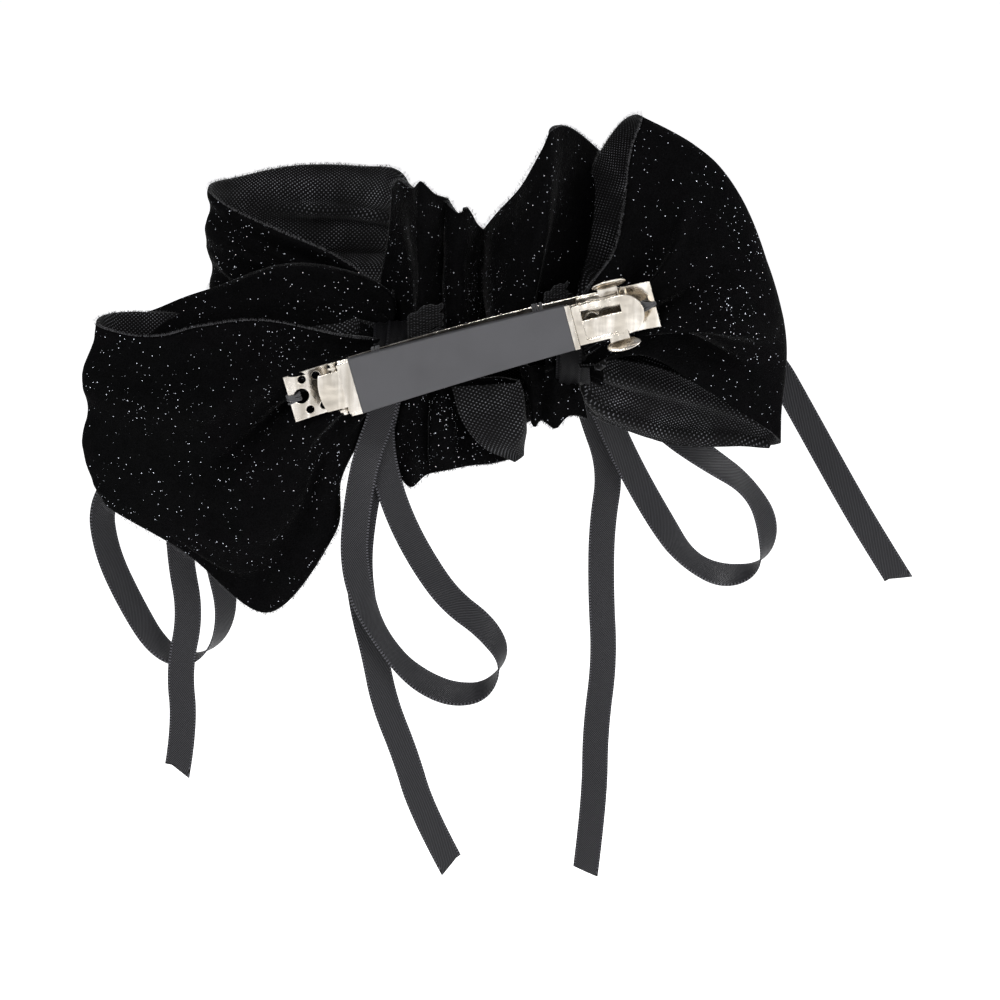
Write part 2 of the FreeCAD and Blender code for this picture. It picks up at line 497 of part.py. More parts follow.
# ---- satin ribbons --------------------------------------------------------------------------
# Routes of the flat ribbon's middle line, as x, y, z.
RIBBONS = {
    "left_ribbon_outer_loop": [
        (-20, 23, -6), (-32, 23, -13), (-47, 23, -21), (-62, 23, -27), (-76, 24, -32),
        (-84, 25, -41), (-83, 26, -53), (-78, 26, -65), (-72, 26, -76), (-65, 26.6, -79.5),
        (-58.5, 27.2, -75.5), (-56, 28, -67), (-58, 28.8, -57), (-60, 30, -46),
        (-52, 31, -35), (-40, 30, -25), (-29, 27, -15), (-20, 23.8, -7)],
    "left_ribbon_outer_tail": [
        (-19, 21, -7), (-31, 21, -17), (-44, 21, -25), (-57, 22, -32), (-66, 22, -42),
        (-66, 23, -54), (-64, 23, -67), (-67, 23, -80), (-66, 23, -93), (-68, 23, -104)],
    "left_ribbon_inner_loop": [
        (-18, 4, -8), (-19, 1.8, -15), (-23, 1, -25), (-25, 0.4, -36), (-26, 0.3, -48),
        (-23, 0.2, -60), (-17, 0, -70), (-11, 0, -75.5), (-4, 0, -78.5), (3.2, 0.3, -77.6),
        (7.4, 0.6, -70.4), (3.2, 0.9, -63.2), (-5, 1.2, -57), (-11, 1.4, -48),
        (-15.5, 1.5, -39), (-18.5, 1.9, -30), (-20, 2.1, -21), (-19.5, 2.9, -14)],
    "left_ribbon_inner_tail": [
        (-17.5, 5.2, -9.5), (-19.5, 3.2, -17.5), (-22, 2.9, -29), (-24, 2.5, -39),
        (-25, 2.2, -49), (-24, 2.1, -59), (-21.5, 2, -70), (-19.5, 2, -81), (-15, 2, -93),
        (-11.5, 2, -106), (-5, 2, -119)],
    "right_ribbon_inner_tail": [
        (22, 23, -5), (26, 26, -20), (31, 28, -34), (29, 29, -48), (29, 29, -64), (30, 30, -80),
        (28, 30, -97), (28, 30, -114), (26, 30, -132)],
    "right_ribbon_loop": [
        (23, 22, -5), (28, 23, -17), (34, 25, -31), (41, 26, -44), (48, 27, -55), (57, 28, -60),
        (66, 28, -57), (67, 28, -47), (62, 28, -38), (53, 28, -32), (43, 28, -25),
        (34, 27, -15), (24, 24, -4)],
    "right_ribbon_outer_tail": [
        (24, 21, -3), (39, 24, -2), (54, 29, -2), (66, 31, -8), (74, 32, -22), (83, 32, -38),
        (90, 32, -50), (97, 32, -61)],
}
ARC_SHARE = 0.45


def rounded_route(points):
    """Straight runs joined by tangent arcs, and the arcs' radii."""
    corners = [Vector(*p) for p in points]
    edges, radii = [], []
    start = corners[0]
    for before, corner, after in zip(corners, corners[1:], corners[2:]):
        back, onward = before - corner, after - corner
        reach = ARC_SHARE * min(back.Length, onward.Length)
        half_turn = (math.pi - back.getAngle(onward)) / 2
        radii.append(reach / math.tan(half_turn))
        back.normalize()
        onward.normalize()
        enter, leave = corner + back * reach, corner + onward * reach
        inward = (back + onward).normalize()
        sagitta = radii[-1] / math.cos(half_turn) - radii[-1]
        edges.append(Part.LineSegment(start, enter).toShape())
        edges.append(Part.Arc(enter, corner + inward * sagitta, leave).toShape())
        start = leave
    edges.append(Part.LineSegment(start, corners[-1]).toShape())
    return Part.Wire(edges), radii


def make_ribbon(name, points):
    """A flat strip along its route, with its flat side towards the head."""
    route, radii = rounded_route(points)
    heading = (Vector(*points[1]) - Vector(*points[0])).normalize()
    outward_way = Vector(0, 1, 0)
    side = heading.cross(outward_way).normalize() * size("ribbon_width") / 2
    up = side.cross(heading).normalize() * size("ribbon_thick") / 2
    start = Vector(*points[0])
    ring = [start + side + up, start - side + up, start - side - up, start + side - up]
    section = Part.makePolygon(ring + ring[:1])
    sweep = Part.BRepOffsetAPI.MakePipeShell(route)
    sweep.setBiNormalMode(outward_way)
    sweep.add(section)
    sweep.build()
    sweep.makeSolid()
    solid = sweep.shape()
    expected = route.Length * size("ribbon_width") * size("ribbon_thick")
    print("%s: length %.1f, radii %s, volume ratio %.3f" % (
        name, route.Length, " ".join("%.1f" % r for r in radii), solid.Volume / expected))
    thing = doc.addObject("Part::Feature", name)
    thing.Shape = solid
    keep(thing, name, Placement(Vector(0, 0, 0), Rotation()))


make_base_plate()
make_hinge_pin()
make_clasp_bar()
make_bar_sleeve()
make_tension_spring()
make_latch()
make_stitches()
for gather_side in ("left", "right"):
    make_gather(gather_side)
for velvet_name, (velvet_level, velvet_cell, velvet_outline) in VELVET.items():
    make_velvet(velvet_name, velvet_level, velvet_cell, velvet_outline)
for ribbon_name, ribbon_points in RIBBONS.items():
    make_ribbon(ribbon_name, ribbon_points)

# ---- checks and files -----------------------------------------------------------------------
doc.recompute()
for thing in doc.Objects:
    if "Invalid" in thing.State or "Error" in thing.State:
        raise RuntimeError("%s failed: %s" % (thing.Name, thing.State))
for thing in sub_parts:
    if thing.Shape.isNull() or not thing.Shape.isValid():
        raise RuntimeError("%s has no valid shape" % thing.Label)
os.makedirs("parts", exist_ok=True)
for thing in sub_parts:
    thing.Shape.exportStep("parts/%s.step" % thing.Label)
print("%d sub-parts" % len(sub_parts))
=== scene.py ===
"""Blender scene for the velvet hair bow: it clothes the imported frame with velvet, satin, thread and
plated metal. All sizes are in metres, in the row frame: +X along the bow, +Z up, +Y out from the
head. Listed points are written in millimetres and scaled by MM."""
import math

import bpy
import numpy as np
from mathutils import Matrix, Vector


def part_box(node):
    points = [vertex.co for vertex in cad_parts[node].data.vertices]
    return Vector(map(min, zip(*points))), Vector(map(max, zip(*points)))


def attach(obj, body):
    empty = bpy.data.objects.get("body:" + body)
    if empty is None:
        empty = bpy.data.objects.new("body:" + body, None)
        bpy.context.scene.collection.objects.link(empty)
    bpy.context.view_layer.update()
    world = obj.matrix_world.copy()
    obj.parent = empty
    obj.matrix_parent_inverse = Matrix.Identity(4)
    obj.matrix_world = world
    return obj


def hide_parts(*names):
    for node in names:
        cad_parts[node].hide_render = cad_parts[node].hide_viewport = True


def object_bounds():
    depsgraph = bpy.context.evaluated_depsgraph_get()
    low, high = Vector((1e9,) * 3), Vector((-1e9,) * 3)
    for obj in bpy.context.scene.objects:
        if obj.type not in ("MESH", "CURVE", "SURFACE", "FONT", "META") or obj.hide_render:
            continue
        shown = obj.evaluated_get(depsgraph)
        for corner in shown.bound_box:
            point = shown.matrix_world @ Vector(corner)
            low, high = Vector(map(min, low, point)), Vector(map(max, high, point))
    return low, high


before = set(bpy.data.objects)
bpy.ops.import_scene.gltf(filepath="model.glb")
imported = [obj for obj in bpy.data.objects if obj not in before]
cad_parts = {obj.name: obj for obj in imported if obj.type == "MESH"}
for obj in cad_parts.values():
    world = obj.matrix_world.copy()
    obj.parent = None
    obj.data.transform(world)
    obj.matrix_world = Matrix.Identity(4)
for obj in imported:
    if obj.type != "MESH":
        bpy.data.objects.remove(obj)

MM = 0.001
CAD_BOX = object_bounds()
BODY = "bow"

# ---- camera, light and floor ------------------------------------------------------------------
CAMERA_TARGET = Vector((6, 0, -34)) * MM
CAMERA_DISTANCE = 650 * MM
CAMERA_ELEVATION = math.radians(15)
CAMERA_LENS = 108.3
CAMERA_SENSOR = 36
CAMERA_NEAR = 10 * MM

# The world is white for directions that rise less than the first value and dim for those that
# rise more than the second: level is 0 and straight up is 1.
WHITE_BELOW, DIM_ABOVE = 0.22, 0.45
WORLD_WHITE, WORLD_DIM = (1, 1, 1), (0.28, 0.28, 0.29)

# Name, place and size in metres, and watts.
LIGHTS = [("key", (-0.5, -0.7, 0.75), 0.35, 9),
          ("rim", (0.55, 0.35, 0.6), 0.3, 6),
          ("fill", (0.6, -0.6, 0.2), 0.4, 4)]
LIGHT_AIM = (0, 0, -0.03)

FLOOR_DROP, FLOOR_SIZE = 0.17, 60
FLOOR_TONE, FLOOR_GLOW = (0.93, 0.93, 0.93), 0.68

# How far the barrette's own level frame is turned to stand in the row frame.
CLIP_TURN = math.radians(15)


def make_camera():
    camera = bpy.data.objects.new("camera", bpy.data.cameras.new("camera"))
    bpy.context.collection.objects.link(camera)
    back = Vector((0, -math.cos(CAMERA_ELEVATION), math.sin(CAMERA_ELEVATION)))
    camera.location = CAMERA_TARGET + back * CAMERA_DISTANCE
    camera.rotation_mode = "QUATERNION"
    camera.rotation_quaternion = (-back).to_track_quat("-Z", "Y")
    camera.data.lens = CAMERA_LENS
    camera.data.sensor_width = CAMERA_SENSOR
    camera.data.clip_start = CAMERA_NEAR
    bpy.context.scene.camera = camera


def area_light(name, place, size, watts):
    data = bpy.data.lights.new(name, "AREA")
    data.size = size
    data.energy = watts
    light = bpy.data.objects.new(name, data)
    light.location = place
    light.rotation_mode = "QUATERNION"
    light.rotation_quaternion = (Vector(LIGHT_AIM) - Vector(place)).to_track_quat("-Z", "Y")
    bpy.context.collection.objects.link(light)


def make_studio():
    world = bpy.data.worlds.new("studio")
    world.use_nodes = True
    direction = node(world, "ShaderNodeTexCoord").outputs["Generated"]
    overhead = smooth_step(world, parts_of(world, direction)["Z"], WHITE_BELOW, DIM_ABOVE)
    link(world, mixed(world, overhead, WORLD_WHITE, WORLD_DIM),
         world.node_tree.nodes["Background"].inputs["Color"])
    bpy.context.scene.world = world
    bpy.context.scene.view_settings.view_transform = "Standard"
    for name, place, size, watts in LIGHTS:
        area_light(name, place, size, watts)
    bpy.ops.mesh.primitive_plane_add(size=FLOOR_SIZE,
                                     location=(0, 0, CAD_BOX[0].z - FLOOR_DROP))
    floor = bpy.context.object
    floor.name = "studio_floor"
    paint = new_material("studio_floor", base=FLOOR_TONE, roughness=0.9)
    shader(paint).inputs["Emission Color"].default_value = (1, 1, 1, 1)
    shader(paint).inputs["Emission Strength"].default_value = FLOOR_GLOW
    floor.data.materials.append(paint)


# ---- material helpers -------------------------------------------------------------------------
def new_material(name, base=(0.5, 0.5, 0.5), roughness=0.5, metallic=0.0, **sockets):
    material = bpy.data.materials.new(name)
    material.use_nodes = True
    bsdf = shader(material)
    bsdf.inputs["Base Color"].default_value = (*base, 1)
    bsdf.inputs["Roughness"].default_value = roughness
    bsdf.inputs["Metallic"].default_value = metallic
    for socket, value in sockets.items():
        bsdf.inputs[socket.replace("_", " ")].default_value = value
    return material


def shader(material):
    return material.node_tree.nodes["Principled BSDF"]


def node(material, kind, **settings):
    made = material.node_tree.nodes.new(kind)
    for key, value in settings.items():
        if key in made.inputs:
            made.inputs[key].default_value = value
        else:
            setattr(made, key, value)
    return made


def link(material, start, end):
    material.node_tree.links.new(start, end)


def feed(material, socket, value):
    """Lets a node's output set one of the shader's sockets."""
    link(material, value, shader(material).inputs[socket])


def maths(material, operation, first, second=None):
    """A Math node's output: each value is a number or another node's output."""
    made = node(material, "ShaderNodeMath", operation=operation)
    for socket, value in zip(made.inputs, (first, second)):
        if value is None:
            continue
        if isinstance(value, (int, float)):
            socket.default_value = value
        else:
            link(material, value, socket)
    return made.outputs[0]


def mixed(material, factor, dark, light):
    """A colour from dark to light by factor."""
    made = node(material, "ShaderNodeMix", data_type="RGBA")
    link(material, factor, made.inputs["Factor"])
    for socket, value in ((made.inputs[6], dark), (made.inputs[7], light)):
        if isinstance(value, tuple):
            socket.default_value = (*value, 1)
        else:
            link(material, value, socket)
    return made.outputs[2]


def parts_of(material, points):
    """The X, Y and Z outputs of a vector."""
    split = node(material, "ShaderNodeSeparateXYZ")
    link(material, points, split.inputs[0])
    return split.outputs


def smooth_step(material, value, low, high):
    """0 up to low and 1 from high on, with a smooth step between them."""
    made = node(material, "ShaderNodeMapRange", interpolation_type="SMOOTHSTEP")
    made.inputs["From Min"].default_value = low
    made.inputs["From Max"].default_value = high
    link(material, value, made.inputs["Value"])
    return made.outputs["Result"]


def wave(material, distance, pitch):
    """A sine with one turn for each pitch, both in metres."""
    return maths(material, "SINE", maths(material, "MULTIPLY", distance, 2 * math.pi / pitch))


def bumped(material, height, strength, distance, rounding=0):
    """Relief from a height, and edges that catch the light as if rounded by a radius."""
    bump = node(material, "ShaderNodeBump", Strength=strength, Distance=distance)
    if rounding:
        link(material, node(material, "ShaderNodeBevel", Radius=rounding).outputs["Normal"],
             bump.inputs["Normal"])
    link(material, height, bump.inputs["Height"])
    feed(material, "Normal", bump.outputs["Normal"])


def object_points(material):
    return node(material, "ShaderNodeTexCoord").outputs["Object"]


def cloth_points(material):
    """UVs in metres of flat cloth."""
    return node(material, "ShaderNodeUVMap", uv_map="UVMap").outputs["UV"]


def noise(material, points, scale, detail=3.0, roughness=0.5):
    made = node(material, "ShaderNodeTexNoise", Scale=scale, Detail=detail, Roughness=roughness)
    link(material, points, made.inputs["Vector"])
    return made.outputs["Fac"]


def specks(material, points, scale, radius, share):
    """1 in round dots on a scattered grid, a share of them lit, and each dot's own random shade.
    There are scale cells per metre, and a dot with a high shade is larger."""
    cells = node(material, "ShaderNodeTexVoronoi", feature="F1", Scale=scale)
    link(material, points, cells.inputs["Vector"])
    split = node(material, "ShaderNodeSeparateColor")
    link(material, cells.outputs["Color"], split.inputs[0])
    shade = split.outputs[1]
    reach = maths(material, "MULTIPLY", maths(material, "ADD", shade, 0.8), radius)
    near = maths(material, "LESS_THAN", cells.outputs["Distance"], reach)
    lit = maths(material, "LESS_THAN", split.outputs[0], share)
    return maths(material, "MULTIPLY", near, lit), shade


# ---- materials --------------------------------------------------------------------------------
def velvet_material():
    """Black pile with fine glitter, denser in drifts. The glitter specks are real; their pale colour,
    near white in a few, is painted glints.
    """
    material = new_material("velvet_pile", base=(0.001, 0.001, 0.0012), roughness=0.9,
                            Sheen_Weight=0.05, Sheen_Roughness=0.16, Specular_IOR_Level=0.02)
    points = object_points(material)
    drift = maths(material, "POWER", noise(material, points, scale=60, detail=2), 4.0)
    share = maths(material, "ADD", 0.012, maths(material, "MULTIPLY", drift, 0.75))
    dots, shade = specks(material, points, scale=3000, radius=0.18, share=share)
    # Painted glints: the glitter specks get a pale colour, near white in a few of them, in place of
    # their sparkle.
    glitter_glints = maths(material, "MULTIPLY", dots, maths(material, "POWER", shade, 2.0))
    clumps = maths(material, "ADD", 0.4, noise(material, points, scale=420, detail=3))
    pile = maths(material, "MULTIPLY", noise(material, points, scale=2600, detail=2), clumps)
    ground = mixed(material, pile, (0.0001, 0.0001, 0.0001), (0.0030, 0.0030, 0.0033))
    feed(material, "Base Color", mixed(material, glitter_glints, ground, (0.86, 0.90, 1.0)))
    feed(material, "Roughness",
         maths(material, "SUBTRACT", 0.9, maths(material, "MULTIPLY", dots, 0.55)))
    bumped(material, pile, strength=0.8, distance=0.4 * MM)
    return material


def knit_material():
    """The backing: dark knit with rows of small pale stitches, brighter in patches."""
    material = new_material("velvet_backing", base=(0.02, 0.02, 0.022), roughness=0.8,
                            Sheen_Weight=0.05, Specular_IOR_Level=0.08)
    points = cloth_points(material)
    split = parts_of(material, points)
    wale = wave(material, split["X"], pitch=1.1 * MM)
    course = wave(material, split["Y"], pitch=0.84 * MM)
    stitch = maths(material, "MAXIMUM", maths(material, "MULTIPLY", wale, course), 0.0)
    broad = noise(material, points, scale=130, detail=3)
    patch = maths(material, "POWER", maths(material, "MULTIPLY", broad, 1.35), 3.0)
    uneven = maths(material, "ADD", 0.25, noise(material, points, scale=1500, detail=2))
    dots = maths(material, "MULTIPLY", maths(material, "GREATER_THAN", stitch, 0.66),
                 maths(material, "MULTIPLY", patch, uneven))
    ground = mixed(material, stitch, (0.0007, 0.0007, 0.0008), (0.0045, 0.0045, 0.0050))
    feed(material, "Base Color", mixed(material, dots, ground, (0.22, 0.225, 0.245)))
    bumped(material, stitch, strength=0.6, distance=0.2 * MM)
    return material


def fuzz_material():
    """The fibres of a raw edge."""
    material = new_material("velvet_raw_edge", base=(0.02, 0.02, 0.022), roughness=0.8,
                            Sheen_Weight=0.12)
    shade = noise(material, object_points(material), scale=1800, detail=2)
    feed(material, "Base Color",
         mixed(material, shade, (0.001, 0.001, 0.0012), (0.038, 0.038, 0.042)))
    return material


def satin_material(name, light, gloss):
    """Ribbon satin: fine diagonal twill up to a light tone, with dotted selvages."""
    material = new_material(name, base=(0.02, 0.02, 0.022), roughness=0.42,
                            Specular_IOR_Level=gloss, Anisotropic=0.5)
    points = cloth_points(material)
    split = parts_of(material, points)
    across, along = split["X"], split["Y"]
    slant = maths(material, "ADD", along, maths(material, "MULTIPLY", across, 1.4))
    twill = wave(material, slant, pitch=0.62 * MM)
    selvage = maths(material, "GREATER_THAN", maths(material, "ABSOLUTE", across), 2.55 * MM)
    bead = maths(material, "GREATER_THAN", wave(material, along, pitch=0.7 * MM), 0.1)
    dots = maths(material, "MULTIPLY", selvage, bead)
    weave = maths(material, "MULTIPLY", maths(material, "ADD", twill, 1.0), 0.5)
    shown = maths(material, "MULTIPLY", weave, maths(material, "SUBTRACT", 1.0, selvage))
    face = mixed(material, shown, (0.0008, 0.0008, 0.001), (light, light, light * 1.12))
    feed(material, "Base Color",
         mixed(material, dots, face, (light * 2.2, light * 2.2, light * 2.5)))
    worn = maths(material, "MULTIPLY", noise(material, points, scale=900, detail=3), 0.22)
    feed(material, "Roughness", maths(material, "ADD", 0.33, worn))
    relief = maths(material, "ADD", twill, maths(material, "MULTIPLY", dots, 3.0))
    bumped(material, relief, strength=0.6, distance=0.1 * MM)
    return material


def nickel_material():
    """Bright plate: nearly a mirror, polished in streaks across the barrette, with painted
    reflections:
    its colour runs from dark to pale along the streaks.
    """
    material = new_material("nickel_plate", base=(0.64, 0.60, 0.54), roughness=0.14, metallic=1)
    points = object_points(material)
    lay = node(material, "ShaderNodeMapping", Rotation=(0, CLIP_TURN, 0), Scale=(1, 0.6, 0.14))
    link(material, points, lay.inputs["Vector"])
    streaks = noise(material, lay.outputs["Vector"], scale=380, detail=3)
    # Painted reflections: the base colour runs dark to pale along the streaks, in place of the dark
    # and light surroundings that the plate mirrors.
    painted_reflections = smooth_step(material, streaks, 0.36, 0.62)
    feed(material, "Base Color",
         mixed(material, painted_reflections, (0.50, 0.46, 0.40), (0.76, 0.72, 0.66)))
    feed(material, "Roughness",
         maths(material, "ADD", 0.08, maths(material, "MULTIPLY", streaks, 0.16)))
    ripples = maths(material, "MULTIPLY", noise(material, points, scale=900, detail=3), 0.08)
    relief = maths(material, "ADD", noise(material, points, scale=190, detail=2), ripples)
    bumped(material, relief, strength=0.35, distance=0.8 * MM, rounding=0.28 * MM)
    return material


def sleeve_material():
    """Matt soft vinyl with a fine grain and slightly paler scuffs."""
    material = new_material("soft_sleeve", base=(0.06, 0.06, 0.066), roughness=0.5)
    points = object_points(material)
    scuffs = noise(material, points, scale=160, detail=4)
    feed(material, "Base Color",
         mixed(material, scuffs, (0.027, 0.027, 0.030), (0.044, 0.044, 0.049)))
    feed(material, "Roughness",
         maths(material, "ADD", 0.42, maths(material, "MULTIPLY", scuffs, 0.2)))
    grain = noise(material, points, scale=5200, detail=2)
    bumped(material, grain, strength=0.12, distance=0.1 * MM, rounding=0.7 * MM)
    return material


def thread_material():
    """Black sewing thread with paler strands."""
    material = new_material("black_thread", base=(0.01, 0.01, 0.011), roughness=0.6,
                            Sheen_Weight=0.2)
    strand = noise(material, object_points(material), scale=3800, detail=2)
    feed(material, "Base Color",
         mixed(material, strand, (0.004, 0.004, 0.005), (0.05, 0.05, 0.055)))
    bumped(material, strand, strength=0.6, distance=0.1 * MM)
    return material


make_camera()
PILE, KNIT, FUZZ = velvet_material(), knit_material(), fuzz_material()
SATIN = satin_material("satin_ribbon", light=0.030, gloss=0.15)
# Painted shade: a darker, duller copy of the ribbon satin for the cinches wound round the gathers.
SHADED_SATIN = satin_material("shaded_satin_wrap", light=0.006, gloss=0.08)
THREAD, NICKEL, SLEEVE = thread_material(), nickel_material(), sleeve_material()
make_studio()


# ---- mesh helpers -----------------------------------------------------------------------------
def add_mesh(name, points, faces, materials, uvs=None, smooth=True):
    """A mesh object on the bow's body; uvs has one pair per point."""
    mesh = bpy.data.meshes.new(name)
    mesh.from_pydata([tuple(p) for p in points], [], [tuple(f) for f in faces])
    if uvs is not None:
        layer = mesh.uv_layers.new(name="UVMap")
        corner = np.empty(len(mesh.loops), dtype=np.int32)
        mesh.loops.foreach_get("vertex_index", corner)
        layer.data.foreach_set("uv", np.asarray(uvs)[corner].astype(np.float32).ravel())
    for material in materials:
        mesh.materials.append(material)
    if smooth:
        mesh.polygons.foreach_set("use_smooth", [True] * len(mesh.polygons))
    piece = bpy.data.objects.new(name, mesh)
    bpy.context.collection.objects.link(piece)
    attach(piece, BODY)
    return piece


def through(points, count):
    """A smooth line through points (Catmull-Rom), as count points along it."""
    points = np.asarray(points, dtype=float)
    ends = np.concatenate([[2 * points[0] - points[1]], points, [2 * points[-1] - points[-2]]])
    spans = len(points) - 1
    at = np.linspace(0, spans, count)
    first = np.minimum(at.astype(int), spans - 1)
    t = (at - first).reshape(-1, *([1] * (points.ndim - 1)))
    a, b, c, d = (ends[first + k] for k in range(4))
    return 0.5 * (2 * b + (c - a) * t + (2 * a - 5 * b + 4 * c - d) * t ** 2
                  + (3 * b - a - 3 * c + d) * t ** 3)


def surface(ribs, along, across):
    """A grid of points, along x across, through ribs of equally many points, in millimetres."""
    across_first = np.stack([through(rib, across) for rib in ribs])
    return through(across_first, along) * MM


def normals_of(grid):
    du, dv = np.gradient(grid, axis=0), np.gradient(grid, axis=1)
    normal = np.cross(du, dv)
    return normal / np.maximum(np.linalg.norm(normal, axis=2, keepdims=True), 1e-12)


def grid_faces(rows, columns):
    index = np.arange(rows * columns).reshape(rows, columns)
    return np.stack([index[:-1, :-1], index[:-1, 1:], index[1:, 1:], index[1:, :-1]],
                    axis=-1).reshape(-1, 4)


def cloth_uvs(grid):
    """Distances along the middle line and across each rib, in metres."""
    steps_u = np.linalg.norm(np.diff(grid[:, grid.shape[1] // 2], axis=0), axis=1)
    u = np.concatenate([[0], np.cumsum(steps_u)])
    v = np.concatenate([np.zeros((grid.shape[0], 1)),
                        np.cumsum(np.linalg.norm(np.diff(grid, axis=1), axis=2), axis=1)], axis=1)
    v = v - v.mean(axis=1, keepdims=True)
    return np.stack([np.repeat(u[:, None], grid.shape[1], axis=1), v], axis=-1).reshape(-1, 2)


# ---- velvet -----------------------------------------------------------------------------------
CLOTH_THICK = 0.8 * MM
ALONG, ACROSS = 150, 64

# Pleats: how many across the cloth, how deep, and how far out from a gathered end they last.
PLEATS = ((7, 0.45, 0.22), (5, 0.6, 0.35), (3.2, 0.8, 0.7), (1.9, 0.7, 1.0))

# The fibres of a raw edge, in millimetres: their mean spacing, how far inside the edge they
# start, and half their width. They are seeded apart from the pleats.
FIBRE_SPACING, FIBRE_ROOT, FIBRE_HALF_WIDTH = 0.075, 0.25, 0.045
FIBRE_SEED = 100


def ridges(rows, columns, folds):
    """Ridges and creases: each runs from (u, v) to (u, v) of the cloth, has a width as a share of
    it and a height in millimetres, and fades at both ends. A negative height is a crease."""
    u = np.linspace(0, 1, rows)[:, None]
    v = np.linspace(0, 1, columns)[None, :]
    height = np.zeros((rows, columns))
    for (u0, v0), (u1, v1), width, tall in folds:
        du, dv = u1 - u0, v1 - v0
        share = ((u - u0) * du + (v - v0) * dv) / (du * du + dv * dv)
        off = np.hypot(u - u0 - share * du, v - v0 - share * dv) / width
        fade = np.clip(share * 4, 0, 1) * np.clip((1 - share) * 4, 0, 1)
        height += tall * fade * np.exp(-off ** 2)
    return height


def pleated(grid, depth, seed, ends=(True, True), folds=()):
    """Folds that run out from the gathered ends: tight there, broad and shallow further out."""
    rows, columns = grid.shape[:2]
    u = np.linspace(0, 1, rows)[:, None]
    v = np.linspace(0, 1, columns)[None, :]
    far = np.ones_like(u)
    if ends[0]:
        far = np.minimum(far, u * 2 if ends[1] else u)
    if ends[1]:
        far = np.minimum(far, (1 - u) * 2 if ends[0] else 1 - u)
    draw = np.random.default_rng(seed)
    shift = np.zeros((rows, columns))
    for waves, size, reach in PLEATS:
        phase, lean = draw.uniform(0, 1), draw.uniform(-0.35, 0.35)
        crest = np.sin(2 * math.pi * (waves * v + phase + lean * far))
        sharp = np.sign(crest) * np.abs(crest) ** 0.8
        shift += size * sharp * np.exp(-(far / reach) ** 2) * np.minimum(1, 0.35 + 6 * far)
        shift += 0.25 * size * crest * np.sin(math.pi * np.minimum(far, 1)) / waves * 2
    shift += 0.10 * np.sin(2 * math.pi * (5 * u + 1.3 * v + draw.uniform(0, 1))) * far
    shift = shift * depth + ridges(rows, columns, folds)
    return grid + normals_of(grid) * (shift * MM)[..., None]


def rim_fuzz(name, grid, edges, seed):
    """A raw cut edge: short fibres that stand out past the cloth."""
    draw = np.random.default_rng(seed)
    points, faces = [], []
    normal = normals_of(grid)
    for edge in edges:
        line, inside = grid[:, edge], grid[:, 1 if edge == 0 else -2]
        facing = normal[:, edge]
        steps = np.linalg.norm(np.diff(line, axis=0), axis=1)
        places = np.concatenate([[0], np.cumsum(steps)])
        count = int(places[-1] / (FIBRE_SPACING * MM))
        for where in draw.uniform(0.02, 0.98, count) * places[-1]:
            row = min(int(np.searchsorted(places, where)) - 1, len(steps) - 1)
            share = (where - places[row]) / max(steps[row], 1e-9)
            base = line[row] * (1 - share) + line[row + 1] * share
            out = line[row] - inside[row]
            out /= max(np.linalg.norm(out), 1e-9)
            along = line[row + 1] - line[row]
            along /= max(np.linalg.norm(along), 1e-9)
            base = base - facing[row] * draw.uniform(0, 0.8) * MM - out * FIBRE_ROOT * MM
            tip = base + (out * draw.uniform(0.3, 0.75) + along * draw.normal(0, 0.3)
                          + facing[row] * draw.normal(0, 0.35)) * MM
            wide = along * FIBRE_HALF_WIDTH * MM
            start = len(points)
            points += [base - wide, base + wide, tip]
            faces.append((start, start + 1, start + 2))
    return add_mesh(name, points, faces, [FUZZ], smooth=False)


def velvet(name, ribs, depth=1.0, seed=0, flip=False, ends=(True, True), rims=("top", "bottom"),
           along=ALONG, across=ACROSS, folds=()):
    """One fold of velvet through its ribs: pile on one side, knit on the other, raw at its rims.
    Ribs run from the top rim down, and flip says which side the pile is on."""
    grid = pleated(surface(ribs, along, across), depth, seed, ends, folds)
    columns = {"top": 0, "bottom": -1}
    if not flip:
        grid = grid[:, ::-1]
        columns = {"top": -1, "bottom": 0}
    raw = [columns[rim] for rim in rims]
    piece = add_mesh(name + "_velvet", grid.reshape(-1, 3), grid_faces(*grid.shape[:2]),
                     [PILE, KNIT], uvs=cloth_uvs(grid))
    thick = piece.modifiers.new("cloth", "SOLIDIFY")
    thick.thickness = CLOTH_THICK
    thick.offset = -1
    thick.material_offset = 1
    thick.material_offset_rim = 1
    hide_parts(name)
    fuzz = rim_fuzz(name + "_raw_edge", grid, raw, seed + FIBRE_SEED) if raw else None
    return piece


